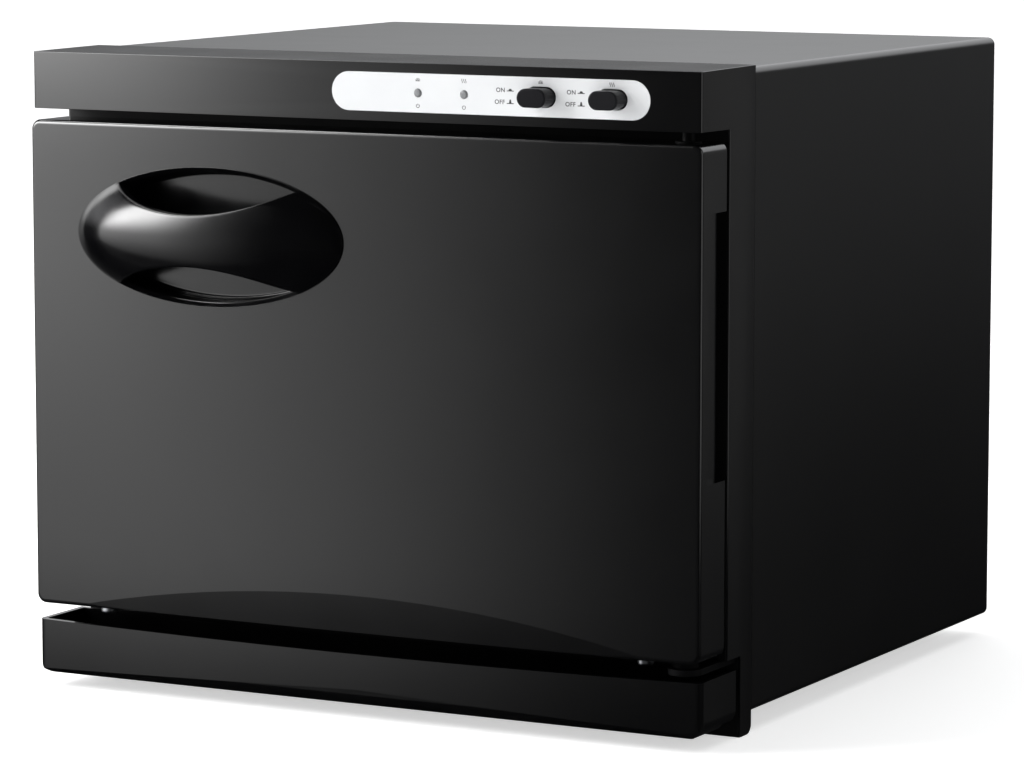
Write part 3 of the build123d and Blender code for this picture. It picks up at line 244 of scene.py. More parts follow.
def zinc_plate(name, scratch=6.0):
    """Bright zinc on steel: a cool grey with faint rolling marks and clouded patches."""
    material, tree, shader = start_material(name, (0.56, 0.58, 0.61), 0.32, metallic=1.0)
    wander(tree, shader, grain(tree, 12 * mm, 4.0), (0.46, 0.48, 0.50), (0.64, 0.66, 0.69))
    marks = grain(tree, 1.6 * mm, 3.0, stretch=(1.0 / scratch, 1.0, 1.0))
    tree.links.new(spread(tree, marks, 0.26, 0.42), shader.inputs["Roughness"])
    emboss(tree, shader, marks, 0.003 * mm)
    return material


plated_steel = zinc_plate("bright_zinc")
dress("rear_panel", coated_steel, 0.15 * mm)
dress("base_plate", plated_steel)
dress("rear_panel_screws", plated_steel)

# Rubber feet: two pressed discs with a chamfered tread, let in through the base plate. They
# carry the back of the warmer and keep it from sliding.


def matt_rubber(name, tone, dust):
    """Pressed rubber: dull, with a little pale dust in its pores."""
    material, tree, shader = start_material(name, tone, 0.8)
    wander(tree, shader, grain(tree, 3 * mm, 5.0), tone, dust)
    emboss(tree, shader, grain(tree, 0.5 * mm, 2.0), 0.02 * mm)
    return material


foot_rubber = matt_rubber("black_foot_rubber", (0.012, 0.012, 0.012), (0.03, 0.03, 0.029))
dress("rear_feet", foot_rubber, 0.3 * mm)

# Strain-relief gland and its nut: two nylon mouldings that clamp through the rear panel,
# where the supply lead comes in.
gland_nylon = moulded_black("gland_nylon", 0.5, 0.006 * mm)
dress("cord_gland", gland_nylon)
dress("gland_nut", gland_nylon, 0.3 * mm)

# Chamber liner: a box folded from 0.8 mm aluminium, its flange clamped behind the frame's
# face by four countersunk screws. Towels and steam leave it lightly streaked.


def mill_aluminium(name, sheen):
    """Rolled aluminium with long fine lines and dull water marks."""
    material, tree, shader = start_material(name, (0.80, 0.81, 0.82), sheen, metallic=1.0)
    wander(tree, shader, grain(tree, 30 * mm, 5.0), (0.70, 0.71, 0.72), (0.84, 0.85, 0.86))
    lines = grain(tree, 0.5 * mm, 2.0, stretch=(0.02, 1.0, 1.0))
    tree.links.new(spread(tree, lines, sheen - 0.06, sheen + 0.08), shader.inputs["Roughness"])
    emboss(tree, shader, lines, 0.002 * mm)
    return material


liner_metal = mill_aluminium("mill_finish_aluminium", 0.34)
dress("inner_liner", liner_metal)
dress("frame_screws", plated_steel)

# Heating mats and insulation: printed heaters in red silicone stuck to the liner, and light
# felt boards round them, held by a folded bracket on the base plate.


def heater_silicone(name):
    """Red silicone pressed over heater cloth, so that the cloth's weave shows."""
    material, tree, shader = start_material(name, (0.36, 0.055, 0.03), 0.55)
    wander(tree, shader, grain(tree, 20 * mm, 3.0), (0.28, 0.04, 0.022), (0.42, 0.07, 0.04))
    emboss(tree, shader, grain(tree, 1.2 * mm, 0.0, stretch=(1.0, 0.25, 1.0)), 0.05 * mm)
    return material


def felt_board(name):
    """Pale insulating felt: matted fibres, with no shine at all."""
    material, tree, shader = start_material(name, (0.74, 0.71, 0.62), 0.95)
    wander(tree, shader, grain(tree, 4 * mm, 6.0), (0.62, 0.59, 0.50), (0.80, 0.77, 0.69))
    emboss(tree, shader, grain(tree, 1.0 * mm, 5.0, stretch=(1.0, 0.4, 1.0)), 0.25 * mm)
    return material


heater_red = heater_silicone("red_heater_silicone")
felt = felt_board("insulating_felt")
for side in ("base", "left", "right"):
    dress("heater_mat_" + side, heater_red)
for side in ("top", "base", "left", "right", "rear"):
    dress("insulation_" + side, felt, 0.6 * mm)
dress("liner_cradle", plated_steel, 0.2 * mm)

# Thermostat and thermal fuse: both lie against the chamber's rear wall, in a cut-out of the
# felt; the thermostat is a brown-black disc with two spade tabs.
dark_moulding = moulded_black("dark_phenolic", 0.55, 0.01 * mm)
dress("thermostat", dark_moulding)
dress("thermal_fuse", plated_steel)

# Ultraviolet lamp: a quartz tube between two white holders under the chamber's ceiling,
# behind a slotted aluminium guard.


def lamp_quartz(name):
    """Quartz tube with a milky bloom."""
    material, tree, shader = start_material(name, (0.86, 0.90, 0.97), 0.12)
    wander(tree, shader, grain(tree, 8 * mm, 3.0), (0.78, 0.83, 0.93), (0.90, 0.93, 0.98))
    tree.links.new(spread(tree, grain(tree, 5 * mm, 3.0), 0.06, 0.2), shader.inputs["Roughness"])
    return material


def pale_moulding(name, tone_dark, tone_light, sheen):
    """Light moulded plastic with a faint flow of tone and a fine texture."""
    material, tree, shader = start_material(name, tone_light, sheen)
    wander(tree, shader, grain(tree, 25 * mm, 3.0), tone_dark, tone_light)
    tree.links.new(spread(tree, grain(tree, 12 * mm, 2.0), sheen - 0.05, sheen + 0.05),
                   shader.inputs["Roughness"])
    emboss(tree, shader, grain(tree, 0.5 * mm, 1.0), 0.004 * mm)
    return material


ceramic_white = pale_moulding("holder_white", (0.70, 0.70, 0.67), (0.78, 0.78, 0.76), 0.45)
dress("uv_lamp", lamp_quartz("lamp_quartz"))
dress("lamp_holder_left", ceramic_white, 0.6 * mm)
dress("lamp_holder_right", ceramic_white, 0.6 * mm)
dress("lamp_guard", liner_metal)

# Ballast, terminal block and leads: the wiring on the base plate behind the chamber. The
# leads run over the felt to the two switches.


def sleeved_lead(name):
    """Braided sleeve round the switch wires."""
    material, tree, shader = start_material(name, (0.03, 0.03, 0.034), 0.7)
    wander(tree, shader, grain(tree, 0.8 * mm, 1.0), (0.02, 0.02, 0.023), (0.055, 0.055, 0.06))
    emboss(tree, shader, grain(tree, 0.8 * mm, 1.0), 0.12 * mm)
    return material


braid = sleeved_lead("braided_sleeve")
dress("uv_ballast", plated_steel, 0.4 * mm)
dress("terminal_block", ceramic_white, 0.4 * mm)
dress("switch_lead_uv", braid)
dress("switch_lead_heat", braid)

# Switches and indicator board: two latching push switches on a folded bracket, and a small
# bare board with the two lamps, all behind the control strip.


def bare_board(name):
    """Glass-epoxy board: tan-green, with the weave of the glass just showing."""
    material, tree, shader = start_material(name, (0.16, 0.20, 0.07), 0.4)
    wander(tree, shader, grain(tree, 1.0 * mm, 1.0), (0.13, 0.17, 0.055), (0.20, 0.24, 0.09))
    emboss(tree, shader, grain(tree, 0.6 * mm, 0.0, stretch=(1.0, 1.0, 0.3)), 0.02 * mm)
    return material


dress("switch_bracket", plated_steel, 0.2 * mm)
dress("switch_body_uv", dark_moulding, 0.4 * mm)
dress("switch_body_heat", dark_moulding, 0.4 * mm)
dress("indicator_board", bare_board("glass_epoxy"), 0.2 * mm)

# Control label: a white polycarbonate sticker, oval at both ends, in front of the strip. It
# is cut out for the two buttons and the two lenses.


def label_white(name):
    """Printed polycarbonate: bright white with a silky skin."""
    material, tree, shader = start_material(name, (0.72, 0.73, 0.74), 0.6)
    shader.inputs["Specular IOR Level"].default_value = 0.05
    wander(tree, shader, grain(tree, 22 * mm, 2.0), (0.70, 0.71, 0.725), (0.73, 0.74, 0.75))
    emboss(tree, shader, grain(tree, 0.4 * mm, 1.0), 0.0015 * mm)
    return material


dress("control_label", label_white("silky_white_label"))

# Print on the label: grey words beside each button, the raised and pressed signs of a push
# switch, and small signs at the lenses. Screen ink, a few hundredths of a millimetre thick.
label_low, label_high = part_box("control_label")
label_face = label_low.y
label_mid_z = (label_low.z + label_high.z) / 2
ink_thickness = 0.03 * mm
button_x = {}
for which in ("uv", "heat"):
    low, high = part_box("button_" + which)
    button_x[which] = (low.x + high.x) / 2
lens_x = {}
for which in ("uv", "heat"):
    low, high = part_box("indicator_lens_" + which)
    lens_x[which] = (low.x + high.x) / 2
row_offset = 2.3 * mm            # the two words above and below the buttons' middle
cap_height = 1.75 * mm
letter_weight = 0.018            # thickening of the letters, as a share of their size
letter_spacing = 1.1
word_gap = 15.5 * mm             # right end of a word to the button's middle
sign_gap = 13.1 * mm             # middle of the switch sign to the button's middle
pressed_cap = (1.0 * mm, 0.8 * mm)    # rise and half width of the button in its sign
raised_cap = (1.7 * mm, 0.55 * mm)
pressed_drop = 0.5 * mm          # foot of each switch sign below the middle of its word
raised_drop = 0.7 * mm
sign_rise = 5.2 * mm             # lamp and steam signs above the buttons' middle
lamp_drop = 0.5 * mm             # foot of the lamp sign below that
lamp_lift = 0.6 * mm             # the signs at the buttons are a little higher
steam_lift = 0.5 * mm
lamp_radius = 1.0 * mm
steam_rise = 1.6 * mm
power_drop = 5.0 * mm            # power signs below the buttons' middle
power_radius = 0.7 * mm
fine_line = 0.24 * mm
print_mesh = bmesh.new()


def ink(outline):
    """One closed flat shape of ink; its outline is in X and Z on the label."""
    corners = [print_mesh.verts.new((x, label_face, z)) for x, z in outline]
    print_mesh.faces.new(corners)


def stroke(points, width):
    """A line of ink of this width along points, with square ends."""
    left, right = [], []
    for i, (x, z) in enumerate(points):
        before = Vector(points[max(i - 1, 0)])
        after = Vector(points[min(i + 1, len(points) - 1)])
        along = (after - before).normalized()
        across = Vector((-along.y, along.x)) * width / 2
        left.append((x + across.x, z + across.y))
        right.append((x - across.x, z - across.y))
    for i in range(len(points) - 1):
        ink([left[i], right[i], right[i + 1], left[i + 1]])


def word(text, right_x, middle_z):
    """Letters of cap height, right end and middle as given."""
    curve = bpy.data.curves.new(text, "FONT")
    curve.body = text
    curve.offset = letter_weight
    curve.space_character = letter_spacing
    lettering = bpy.data.objects.new(text, curve)
    bpy.context.scene.collection.objects.link(lettering)
    bpy.context.view_layer.update()
    shapes = bpy.data.meshes.new_from_object(lettering.evaluated_get(
        bpy.context.evaluated_depsgraph_get()))
    bpy.data.objects.remove(lettering)
    xs = [v.co.x for v in shapes.vertices]
    ys = [v.co.y for v in shapes.vertices]
    scale = cap_height / (max(ys) - min(ys))
    for face in shapes.polygons:
        ink([(right_x + (shapes.vertices[i].co.x - max(xs)) * scale,
              middle_z + (shapes.vertices[i].co.y - (max(ys) + min(ys)) / 2) * scale)
             for i in face.vertices])
    bpy.data.meshes.remove(shapes)


def switch_sign(x, z, cap_rise, cap_half):
    """A line for the panel with the button's outline standing on it."""
    base = 0.35 * mm
    half = 1.5 * mm
    ink([(x - half, z), (x + half, z), (x + half, z + base), (x - half, z + base)])
    ink([(x - cap_half, z + base), (x + cap_half, z + base), (x + cap_half / 2, z + cap_rise),
         (x - cap_half / 2, z + cap_rise)])


def arc_points(x, z, radius, start, end, steps=16):
    """Points along an arc, angles in degrees from the right, counter-clockwise."""
    spots = []
    for i in range(steps + 1):
        turn = math.radians(start + (end - start) * i / steps)
        spots.append((x + radius * math.cos(turn), z + radius * math.sin(turn)))
    return spots


def wave_points(x, z, rise, swing, steps=12):
    """Points up a gentle S, for one curl of steam."""
    return [(x + swing * math.sin(2 * math.pi * i / steps), z + rise * (i / steps - 0.5))
            for i in range(steps + 1)]


def steam_sign(x, z, rise, width):
    """Three curls side by side: the heater."""
    for step in (-1, 0, 1):
        stroke(wave_points(x + step * rise * 0.5, z, rise, rise * 0.12), width)


def lamp_sign(x, z, radius, width):
    """A half disc with rays: the lamp."""
    stroke(arc_points(x, z, radius * 0.5, 0, 180), width)
    stroke([(x - radius, z), (x + radius, z)], width)
    for turn in (30, 60, 90, 120, 150):
        ray = Vector((math.cos(math.radians(turn)), math.sin(math.radians(turn))))
        stroke([(x + ray.x * radius * 0.75, z + ray.y * radius * 0.75),
                (x + ray.x * radius * 1.15, z + ray.y * radius * 1.15)], width)


def power_sign(x, z, radius, width):
    """A broken ring with an upright bar: mains on."""
    stroke(arc_points(x, z, radius, 125, 415), width)
    stroke([(x, z + radius * 0.2), (x, z + radius * 1.25)], width)


for which in ("uv", "heat"):
    word_x = button_x[which] - word_gap
    sign_x = button_x[which] - sign_gap
    word("ON", word_x, label_mid_z + row_offset)
    word("OFF", word_x, label_mid_z - row_offset)
    switch_sign(sign_x, label_mid_z + row_offset - pressed_drop, *pressed_cap)
    switch_sign(sign_x, label_mid_z - row_offset - raised_drop, *raised_cap)
    power_sign(lens_x[which], label_mid_z - power_drop, power_radius, fine_line)
sign_z = label_mid_z + sign_rise
lamp_sign(lens_x["uv"], sign_z - lamp_drop, lamp_radius, fine_line)
lamp_sign(button_x["uv"], sign_z - lamp_drop + lamp_lift, lamp_radius, fine_line)
steam_sign(lens_x["heat"], sign_z, steam_rise, fine_line)
steam_sign(button_x["heat"], sign_z + steam_lift, steam_rise, fine_line)


def finish_mesh(work, name, material, body):
    """Turn mesh work into a named piece with its finish, riding on a body."""
    mesh = bpy.data.meshes.new(name)
    work.to_mesh(mesh)
    work.free()
    mesh.materials.append(material)
    piece = bpy.data.objects.new(name, mesh)
    bpy.context.scene.collection.objects.link(piece)
    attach(piece, body)
    return piece


def screen_ink(name):
    """Grey screen ink: thin, dull and slightly uneven."""
    material, tree, shader = start_material(name, (0.030, 0.030, 0.032), 0.6)
    wander(tree, shader, grain(tree, 0.6 * mm, 3.0), (0.022, 0.022, 0.024), (0.045, 0.045, 0.048))
    return material


bmesh.ops.remove_doubles(print_mesh, verts=print_mesh.verts, dist=weld_reach)
bmesh.ops.recalc_face_normals(print_mesh, faces=print_mesh.faces)
label_print = finish_mesh(print_mesh, "control_label_print", screen_ink("screen_ink"), "root")
layer = label_print.modifiers.new("layer", "SOLIDIFY")
layer.thickness = ink_thickness
layer.offset = 0.0

# Push buttons: two oval caps on stems, moulded in black ABS with a finer polish than the
# frame. Each slides through its opening to the switch behind.
spark_relief = 0.0008 * mm       # depth of a spark texture
cap_black = moulded_black("button_abs", 0.22, spark_relief, mirror=0.05, tone=0.013)
dress("button_uv", cap_black)
dress("button_heat", cap_black)

# Indicator lenses: two small domed light pipes in clear acrylic with a smoky tint, pressed
# into the strip with their lamps behind.


def smoky_acrylic(name):
    """Light pipe with a frosted face."""
    material, tree, shader = start_material(name, (0.17, 0.175, 0.18), 0.45)
    wander(tree, shader, grain(tree, 1.2 * mm, 2.0), (0.14, 0.145, 0.15), (0.20, 0.205, 0.21))
    return material


lens_finish = smoky_acrylic("smoky_acrylic")
dress("indicator_lens_uv", lens_finish)
dress("indicator_lens_heat", lens_finish)

# Hinge: a black steel bracket under the right column with a blackened pin, an upper pin
# dropped through the strip's floor, and black nylon bushes pressed into the door.


def blackened_steel(name):
    """Turned steel, blackened in an oxide bath: dark, with an oily sheen."""
    material, tree, shader = start_material(name, (0.002, 0.002, 0.0022), 0.5)
    shader.inputs["Specular IOR Level"].default_value = 0.06
    wander(tree, shader, grain(tree, 3 * mm, 3.0), (0.0015, 0.0015, 0.0017),
           (0.003, 0.003, 0.0033))
    tree.links.new(spread(tree, grain(tree, 1.5 * mm, 2.0), 0.45, 0.58),
                   shader.inputs["Roughness"])
    return material


oxide_black = blackened_steel("black_oxide")
dress("hinge_bracket_lower", oxide_black, 0.2 * mm)
dress("hinge_screws", plated_steel)
dress("hinge_pin_lower", oxide_black)
dress("hinge_pin_upper", oxide_black)
bush_nylon = moulded_black("bush_nylon", 0.6, 0.002 * mm, mirror=0.05)
dress("hinge_bush_upper", bush_nylon)
dress("hinge_bush_lower", bush_nylon)

# Catch: a magnet in a dark housing in the left column, and a small steel strike plate on the
# door's inner panel.
dress("magnet_catch", dark_moulding, 0.2 * mm)
dress("strike_plate", plated_steel, 0.15 * mm)

# Door shell: the same black ABS as the frame, open to the back, with a shallow hollow across
# its foot and a finger rebate in its right side. Two pan screws stand under it.
door_black = moulded_black("door_abs", 0.15, spark_relief)
dress("door_panel", door_black)
dress("door_screws", plated_steel)

# Door's back: a light grey moulded panel screwed into the shell over a felt core, with a
# silicone gasket that seals the chamber's mouth.
panel_grey = pale_moulding("panel_grey", (0.36, 0.36, 0.355), (0.375, 0.375, 0.37), 0.35)
gasket_grey = matt_rubber("gasket_silicone", (0.10, 0.10, 0.105), (0.14, 0.14, 0.145))
dress("door_inner_panel", panel_grey, 0.3 * mm)
dress("inner_panel_screws", plated_steel)
dress("door_gasket", gasket_grey)
dress("door_foam", felt, 0.5 * mm)

# Door handle: an oval dish let into the door and a hollow grip that bridges it, both in
# polished black ABS. The grip is a slice of a long rounded body, waisted for the fingers.
handle_sheen = 0.16
handle_mirror = 0.36
right_shade_mirror = 0.12              # painted shade: mirror left at the grip's right end painted shade: share of the mirror left on the grip's underside painted shade: share of the mirror left at its left end
underside_shade_share = 0.3                # of the mirror, on the grip's underside
left_shade_share = 0.45                # of the mirror, at its left end
sharp_edge = math.radians(40)    # edges of the handle sharper than this stay sharp


def polished_black(name, sheen):
    """Black ABS from a polished mould: deep and glossy, with a trace of wear."""
    material, tree, shader = start_material(name, (0.002, 0.002, 0.0023), sheen)
    wander(tree, shader, grain(tree, 18 * mm), (0.0015, 0.0015, 0.0018), (0.0025, 0.0025, 0.0028))
    drift = spread(tree, grain(tree, 9 * mm, 4.0), sheen - 0.03, sheen + 0.03)
    tree.links.new(drift, shader.inputs["Roughness"])
    shader.inputs["Specular IOR Level"].default_value = handle_mirror
    emboss(tree, shader, grain(tree, 0.25 * mm, 1.0), 0.0004 * mm)
    return material


def shaded_black(name, sheen, middle):
    """The grip's ABS: polished, with painted shade where its mirror is turned down, on its
    underside, at its left end and towards its right end.
    """
    material = polished_black(name, sheen)
    tree = material.node_tree
    shader = tree.nodes["Principled BSDF"]
    parts = place_parts(tree)
    # painted shade: the mirror falls on the underside, at the left end and towards the right end
    upwards = ramp(tree, parts["Z"], middle.z - 9 * mm, middle.z + 3 * mm, underside_shade_share, 1.0)
    inwards = ramp(tree, parts["X"], middle.x - 51 * mm, middle.x - 45 * mm, left_shade_share, 1.0)
    along = ramp(tree, parts["X"], middle.x, middle.x + 42 * mm, handle_mirror, right_shade_mirror)
    mirror = combine(tree, "MULTIPLY", combine(tree, "MULTIPLY", upwards, inwards), along)
    tree.links.new(mirror, shader.inputs["Specular IOR Level"])
    return material


def bend(start, corner, end, steps):
    """Points along a curve from start to end that leans towards the corner."""
    spots = []
    for step in range(steps + 1):
        t = step / steps
        spots.append(start * (1 - t) ** 2 + corner * 2 * t * (1 - t) + end * t ** 2)
    return spots


def rounded_path(corners, reaches, steps=8):
    """A path through corners, each rounded from this far before it to this far after it."""
    path = []
    for i, (corner, reach) in enumerate(zip(corners, reaches)):
        corner = Vector(corner)
        if reach == 0:
            path.append(corner)
            continue
        start = corner + (Vector(corners[i - 1]) - corner).normalized() * reach
        end = corner + (Vector(corners[i + 1]) - corner).normalized() * reach
        path += bend(start, corner, end, steps)
    return path


def join_rings(work, rings):
    """Faces between each ring of corners and the next; the rings are closed."""
    for one, two in zip(rings, rings[1:]):
        for i in range(len(one)):
            j = (i + 1) % len(one)
            work.faces.new((one[i], one[j], two[j], two[i]))


def close_mesh(work):
    """Weld what has come together and turn all faces outwards."""
    bmesh.ops.remove_doubles(work, verts=work.verts, dist=weld_reach)
    bmesh.ops.recalc_face_normals(work, faces=work.faces)


dish_low, dish_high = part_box("handle_dish")
oval = (dish_low + dish_high) / 2
half_length = (dish_high.x - dish_low.x) / 2
half_height = (dish_high.z - dish_low.z) / 2
rim_y = dish_low.y
rim_height = 0.8 * mm            # rim ahead of the door's face
rim_ring = 2.2 * mm              # from the rim's outer edge to the dish's inside
rim_slope = 1.5 * mm             # how far the rim leans into the dish
rim_edge = 0.25 * mm             # rounding of the rim's outer edge
rim_roll = 0.8 * mm              # rounding from the rim to the dish's wall
dish_depth = 13.0 * mm
dish_wall = 1.2 * mm
floor_round = 2.2 * mm
oval_steps = 192

dish_under = dish_depth + dish_wall
wall_inset = rim_ring - dish_wall
flat_inset = rim_ring + 2 * floor_round
dish_corners = [(flat_inset, dish_depth), (rim_ring, dish_depth), (rim_ring, rim_slope), (0, 0),
                (0, rim_height), (wall_inset, rim_height), (wall_inset, dish_under),
                (flat_inset, dish_under)]
dish_rounds = [0, floor_round, rim_roll, rim_edge, 0, 0, floor_round, 0]
oval_turns = [2 * math.pi * i / oval_steps for i in range(oval_steps)]
work = bmesh.new()
rings = []
for inset, depth in rounded_path(dish_corners, dish_rounds):
    rings.append([work.verts.new((oval.x + (half_length - inset) * math.cos(turn), rim_y + depth,
                                  oval.z + (half_height - inset) * math.sin(turn)))
                  for turn in oval_turns])
join_rings(work, rings)
work.faces.new(rings[0])
work.faces.new(rings[-1])
close_mesh(work)
dish_gloss = polished_black("polished_abs", handle_sheen)
dish = finish_mesh(work, "handle_dish_moulding", dish_gloss, "door")
dish.data.shade_smooth()
dish.data.set_sharp_from_angle(angle=sharp_edge)
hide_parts("handle_dish")

bulge = rim_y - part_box("handle_grip")[0].y
axis_depth = (half_height ** 2 - bulge ** 2) / (2 * bulge)
crown_radius = bulge + axis_depth
crown_half = half_length / math.sqrt(1 - (axis_depth / crown_radius) ** 2)
grip_wall = 3.6 * mm
waist = 10.4 * mm                # half height of the grip at its middle
flare = 42.0 * mm                # where the finger hollows meet the oval, from the middle
flare_height = half_height * math.sqrt(1 - (flare / half_length) ** 2)
waist_radius = (flare ** 2 + (flare_height - waist) ** 2) / (2 * (flare_height - waist))
lip = 0.9 * mm                   # rounding of the grip's long edges
lip_steps = 4
waist_steps, end_steps = 40, 48  # sections from the middle to the flare, and on to the end


def crown(x, z, inset=0.0):
    """How far the long rounded body, drawn in by an inset, stands ahead of the rim."""
    share = 1 - (x / (crown_half - inset)) ** 2
    square = (crown_radius - inset) ** 2 * share - z ** 2
    return max(math.sqrt(max(square, 0.0)) - axis_depth, 0.0)


def grip_half(x):
    """Half height of the grip at a place along it."""
    end = half_height * math.sqrt(max(1 - (x / half_length) ** 2, 0.0))
    if abs(x) >= flare:
        return end
    return waist + waist_radius - math.sqrt(waist_radius ** 2 - x ** 2)


def grip_section(x, steps=36):
    """Closed section of the grip at x, as heights and distances ahead of the rim."""
    edge = grip_half(x)
    soft = min(lip, 0.4 * (crown(x, edge) - crown(x, edge, grip_wall)), edge / 2)
    lip_path = bend(Vector((edge - soft, crown(x, edge - soft))), Vector((edge, crown(x, edge))),
                    Vector((edge, crown(x, edge) - soft)), lip_steps)
    lip_path += bend(Vector((edge, crown(x, edge, grip_wall) + soft / 2)),
                     Vector((edge, crown(x, edge, grip_wall))),
                     Vector((edge - soft / 2, crown(x, edge - soft / 2, grip_wall))), lip_steps)
    outside = [(2 * i / steps - 1) * (edge - soft) for i in range(1, steps)]
    inside = [(1 - 2 * i / steps) * (edge - soft / 2) for i in range(1, steps)]
    section = [(z, crown(x, z)) for z in outside] + [tuple(spot) for spot in lip_path]
    section += [(z, crown(x, z, grip_wall)) for z in inside]
    return section + [(-z, ahead) for z, ahead in reversed(lip_path)]


flare_turn = math.asin(flare / half_length)
end_turn = math.pi / 2 - flare_turn
turns = [flare_turn * i / waist_steps for i in range(waist_steps)]
turns += [flare_turn + end_turn * i / end_steps for i in range(end_steps + 1)]
turns = [-turn for turn in reversed(turns[1:])] + turns
work = bmesh.new()
rings = []
for turn in turns:
    along = half_length * math.sin(turn)
    rings.append([work.verts.new((oval.x + along, rim_y - ahead, oval.z + z))
                  for z, ahead in grip_section(along)])
join_rings(work, rings)
close_mesh(work)
grip_shaded_gloss = shaded_black("shaded_abs", handle_sheen, oval)
grip = finish_mesh(work, "handle_grip_moulding", grip_shaded_gloss, "door")
grip.data.shade_smooth()
grip.data.set_sharp_from_angle(angle=sharp_edge)
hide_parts("handle_grip")

# Drip tray: a bowed trough in the frame's black ABS, which slides out on two tongues and
# catches what runs off the door.
dress("drip_tray", moulded_black("tray_abs", 0.15, spark_relief))

# Towel basket: 3 mm chrome-plated wires, bent to U shapes and spot welded where they cross.
# It stands loose in the chamber.


def chrome_plate(name):
    """Bright chrome on drawn wire, a little soft at the welds."""
    material, tree, shader = start_material(name, (0.72, 0.73, 0.75), 0.12, metallic=1.0)
    wander(tree, shader, grain(tree, 7 * mm, 3.0), (0.62, 0.63, 0.65), (0.78, 0.79, 0.81))
    tree.links.new(spread(tree, grain(tree, 3 * mm, 3.0), 0.07, 0.2), shader.inputs["Roughness"])
    return material


dress("towel_basket", chrome_plate("chrome_plate"))

# Studio: a wide pale floor and the camera where the photograph was taken from. The floor
# glows a little, so that it stays white round the object, and gloss doesn't see it.
floor_half = 30.0
floor_glow = 0.57


def flat_sheet(name, corners, paint):
    """One flat face of the studio."""
    work = bmesh.new()
    work.faces.new([work.verts.new(corner) for corner in corners])
    mesh = bpy.data.meshes.new(name)
    work.to_mesh(mesh)
    work.free()
    mesh.materials.append(paint)
    sheet = bpy.data.objects.new(name, mesh)
    bpy.context.scene.collection.objects.link(sheet)
    return sheet


paint, tree, shader = start_material("studio_floor", (0.86, 0.86, 0.86), 0.8)
wander(tree, shader, grain(tree, 0.6), (0.85, 0.85, 0.85), (0.88, 0.88, 0.88))
shader.inputs["Emission Color"].default_value = (1.0, 1.0, 1.0, 1.0)
shader.inputs["Emission Strength"].default_value = floor_glow
floor = flat_sheet("studio_floor", [(x * floor_half, y * floor_half, 0.0)
                                    for x, y in ((-1, -1), (1, -1), (1, 1), (-1, 1))], paint)
floor.visible_glossy = False

azimuth = math.radians(27.774)
elevation = math.radians(7.275)
roll = math.radians(0.033)
camera_place = Vector((0.8848, -1.6880, 0.3629))
focal_length = 160.4             # mm, on a frame 36 mm wide
back = Vector((math.sin(azimuth) * math.cos(elevation), -math.cos(azimuth) * math.cos(elevation),
               math.sin(elevation)))
right = Vector((math.cos(azimuth), math.sin(azimuth), 0.0))
camera_data = bpy.data.cameras.new("photo_camera")
camera_data.sensor_width = 36.0
camera_data.lens = focal_length
camera = bpy.data.objects.new("photo_camera", camera_data)
bpy.context.scene.collection.objects.link(camera)
facing = Matrix((right, back.cross(right), back)).transposed().to_4x4()
camera.matrix_world = (Matrix.Translation(camera_place) @ facing
                       @ Matrix.Rotation(roll, 4, "Z"))
bpy.context.scene.camera = camera

# Lights: a large soft box at the upper left, a faint one at the right, a small one above and a
# broad sun. Of two glowing cards that only gloss sees, one makes the front fade to the right
# and one lights the frame's right side. The steel cover mirrors a graded sky.


def soft_box(name, place, turn, tilt, width, height, power):
    """Area light at a place; it faces +Y at turn 0, and turns to the left seen from above."""
    light = bpy.data.lights.new(name, "AREA")
    light.shape = "RECTANGLE"
    light.size = width
    light.size_y = height
    light.energy = power
    lamp = bpy.data.objects.new(name, light)
    bpy.context.scene.collection.objects.link(lamp)
    lamp.location = place
    lamp.rotation_euler = (math.radians(90 + tilt), 0.0, math.radians(turn))
    lamp.visible_camera = False
    return lamp


key = soft_box("key_left", (-1.83, -1.33, 1.18), turn=-57, tilt=-24, width=1.2, height=1.94,
               power=58.0)
key.visible_glossy = False
soft_box("edge_right", (1.3, 0.1, 0.5), turn=90, tilt=0, width=1.0, height=1.2, power=4.0)
soft_box("top_left", (-0.74, -0.28, 1.35), turn=0, tilt=-90, width=0.3, height=0.5, power=6.0)
sun = bpy.data.lights.new("overhead", "SUN")
sun.energy = 1.6
sun.angle = math.radians(80)
overhead = bpy.data.objects.new("overhead", sun)
bpy.context.scene.collection.objects.link(overhead)
overhead.rotation_euler = (math.radians(-20), math.radians(-10), 0.0)
overhead.visible_glossy = False


def gloss_card(name, corners):
    """A glowing card that only gloss sees; the caller links its strength along its place."""
    paint = bpy.data.materials.new(name)
    paint.use_nodes = True
    tree = paint.node_tree
    tree.nodes.clear()
    glow = tree.nodes.new("ShaderNodeEmission")
    output = tree.nodes.new("ShaderNodeOutputMaterial")
    tree.links.new(glow.outputs["Emission"], output.inputs["Surface"])
    card = flat_sheet(name, corners, paint)
    card.visible_camera = False
    card.visible_diffuse = False
    card.visible_transmission = False
    card.visible_shadow = False
    return tree, place_parts(tree), glow.inputs["Strength"]


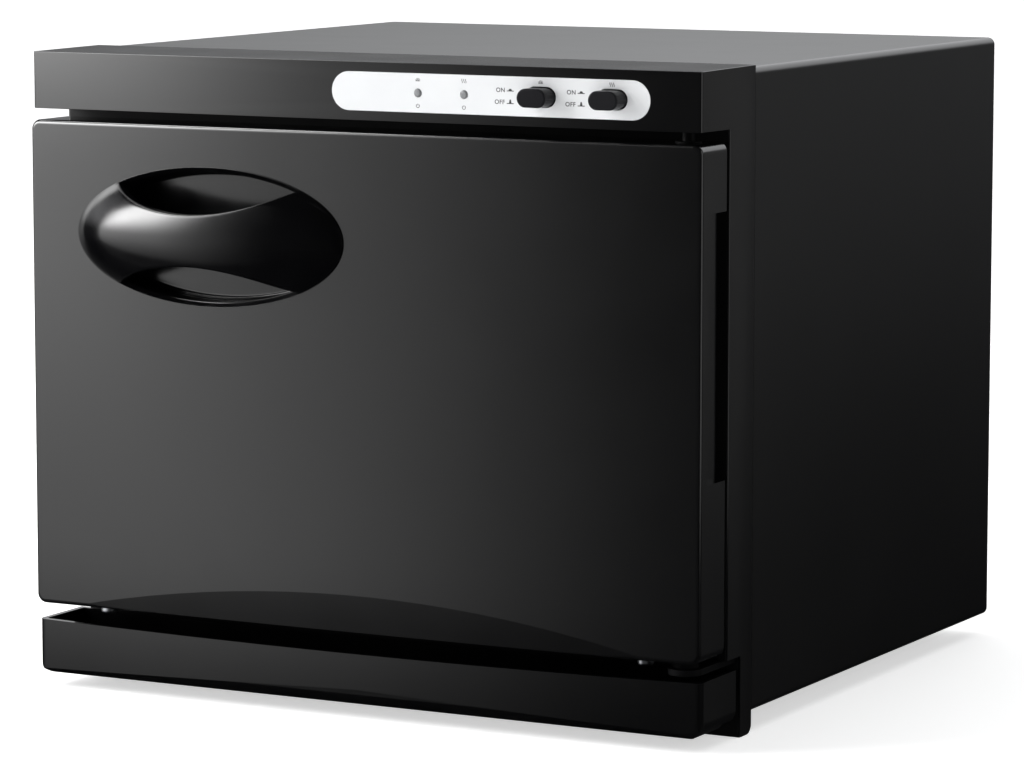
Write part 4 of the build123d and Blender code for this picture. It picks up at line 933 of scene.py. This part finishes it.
# front card: bright at the left, a soft patch at the upper left for the handle's highlight
card_y = -0.44
card_left, card_right, card_foot, card_top = -1.4, 0.5, -0.4, 0.75
front_bright, front_dim = 1.85, 0.08
foot_share = 0.12                # of the front's light, for the tray
corner_lift = 1.6                # at the door's upper left
patch_glow = 22.0
patch_fade = 0.06                # share of the patch left at its outer end
tree, parts, strength = gloss_card(
    "front_card", [(card_left, card_y, card_foot), (card_left, card_y, card_top),
                   (card_right, card_y, card_top), (card_right, card_y, card_foot)])
across = ramp(tree, parts["X"], -0.32, 0.02, front_bright, front_dim)
upwards = ramp(tree, parts["Z"], -0.09, 0.01, foot_share, 1.0)
corner = combine(tree, "MULTIPLY", ramp(tree, parts["X"], -0.20, -0.38, 0.0, corner_lift),
                 ramp(tree, parts["Z"], 0.0, 0.20, 0.0, 1.0))
lower = combine(tree, "ADD", combine(tree, "MULTIPLY", across, upwards), corner)
inward = combine(tree, "MULTIPLY", ramp(tree, parts["X"], -0.17, -0.42, 0.0, patch_glow),
                 ramp(tree, parts["Z"], 0.18, 0.41, 0.0, 1.0))
outward = combine(tree, "MULTIPLY", ramp(tree, parts["X"], -0.55, -1.35, 1.0, patch_fade),
                  ramp(tree, parts["Z"], 0.55, card_top, 1.0, 0.0))
upper = combine(tree, "MULTIPLY", inward, outward)
tree.links.new(combine(tree, "ADD", lower, upper), strength)

# side card: it ends where the photograph's camera would see it in the cabinet cover
side_x = 0.36
side_front, side_foot, side_top = 0.20, -0.20, 0.35
seam_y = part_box("cabinet_cover")[0].y
mirror_share = (side_x - cad_high.x) / (camera_place.x - cad_high.x)
side_back = seam_y + (seam_y - camera_place.y) * mirror_share
tree, parts, strength = gloss_card(
    "side_card", [(side_x, side_front, side_foot), (side_x, side_back, side_foot),
                  (side_x, side_back, side_top), (side_x, side_front, side_top)])
tree.links.new(ramp(tree, parts["Z"], -0.10, 0.23, 0.045, 0.19), strength)

# sky: dark but for the far side, which the cover mirrors, and a glow at the left
world = bpy.data.worlds.new("studio_world")
world.use_nodes = True
bpy.context.scene.world = world
tree = world.node_tree
sky = tree.nodes["Background"]
parts = place_parts(tree, "Generated")
far_side = ramp(tree, parts["Y"], 0.66, 0.86, 0.03, 1.0)
below = ramp(tree, parts["Z"], -0.17, 0.02, 0.01, 0.17)
above = ramp(tree, parts["Z"], 0.06, 0.30, 0.0, 1.35)
far_glow = combine(tree, "MULTIPLY", far_side, combine(tree, "ADD", below, above))
left_glow = combine(tree, "MULTIPLY", ramp(tree, parts["X"], -0.75, -0.98, 0.0, 1.3),
                    ramp(tree, parts["Z"], 0.0, 0.25, 0.0, 1.0))
tree.links.new(combine(tree, "ADD", far_glow, left_glow), sky.inputs["Strength"])
sky.inputs["Color"].default_value = (0.97, 0.98, 1.0, 1.0)
bpy.context.scene.view_settings.view_transform = "Standard"
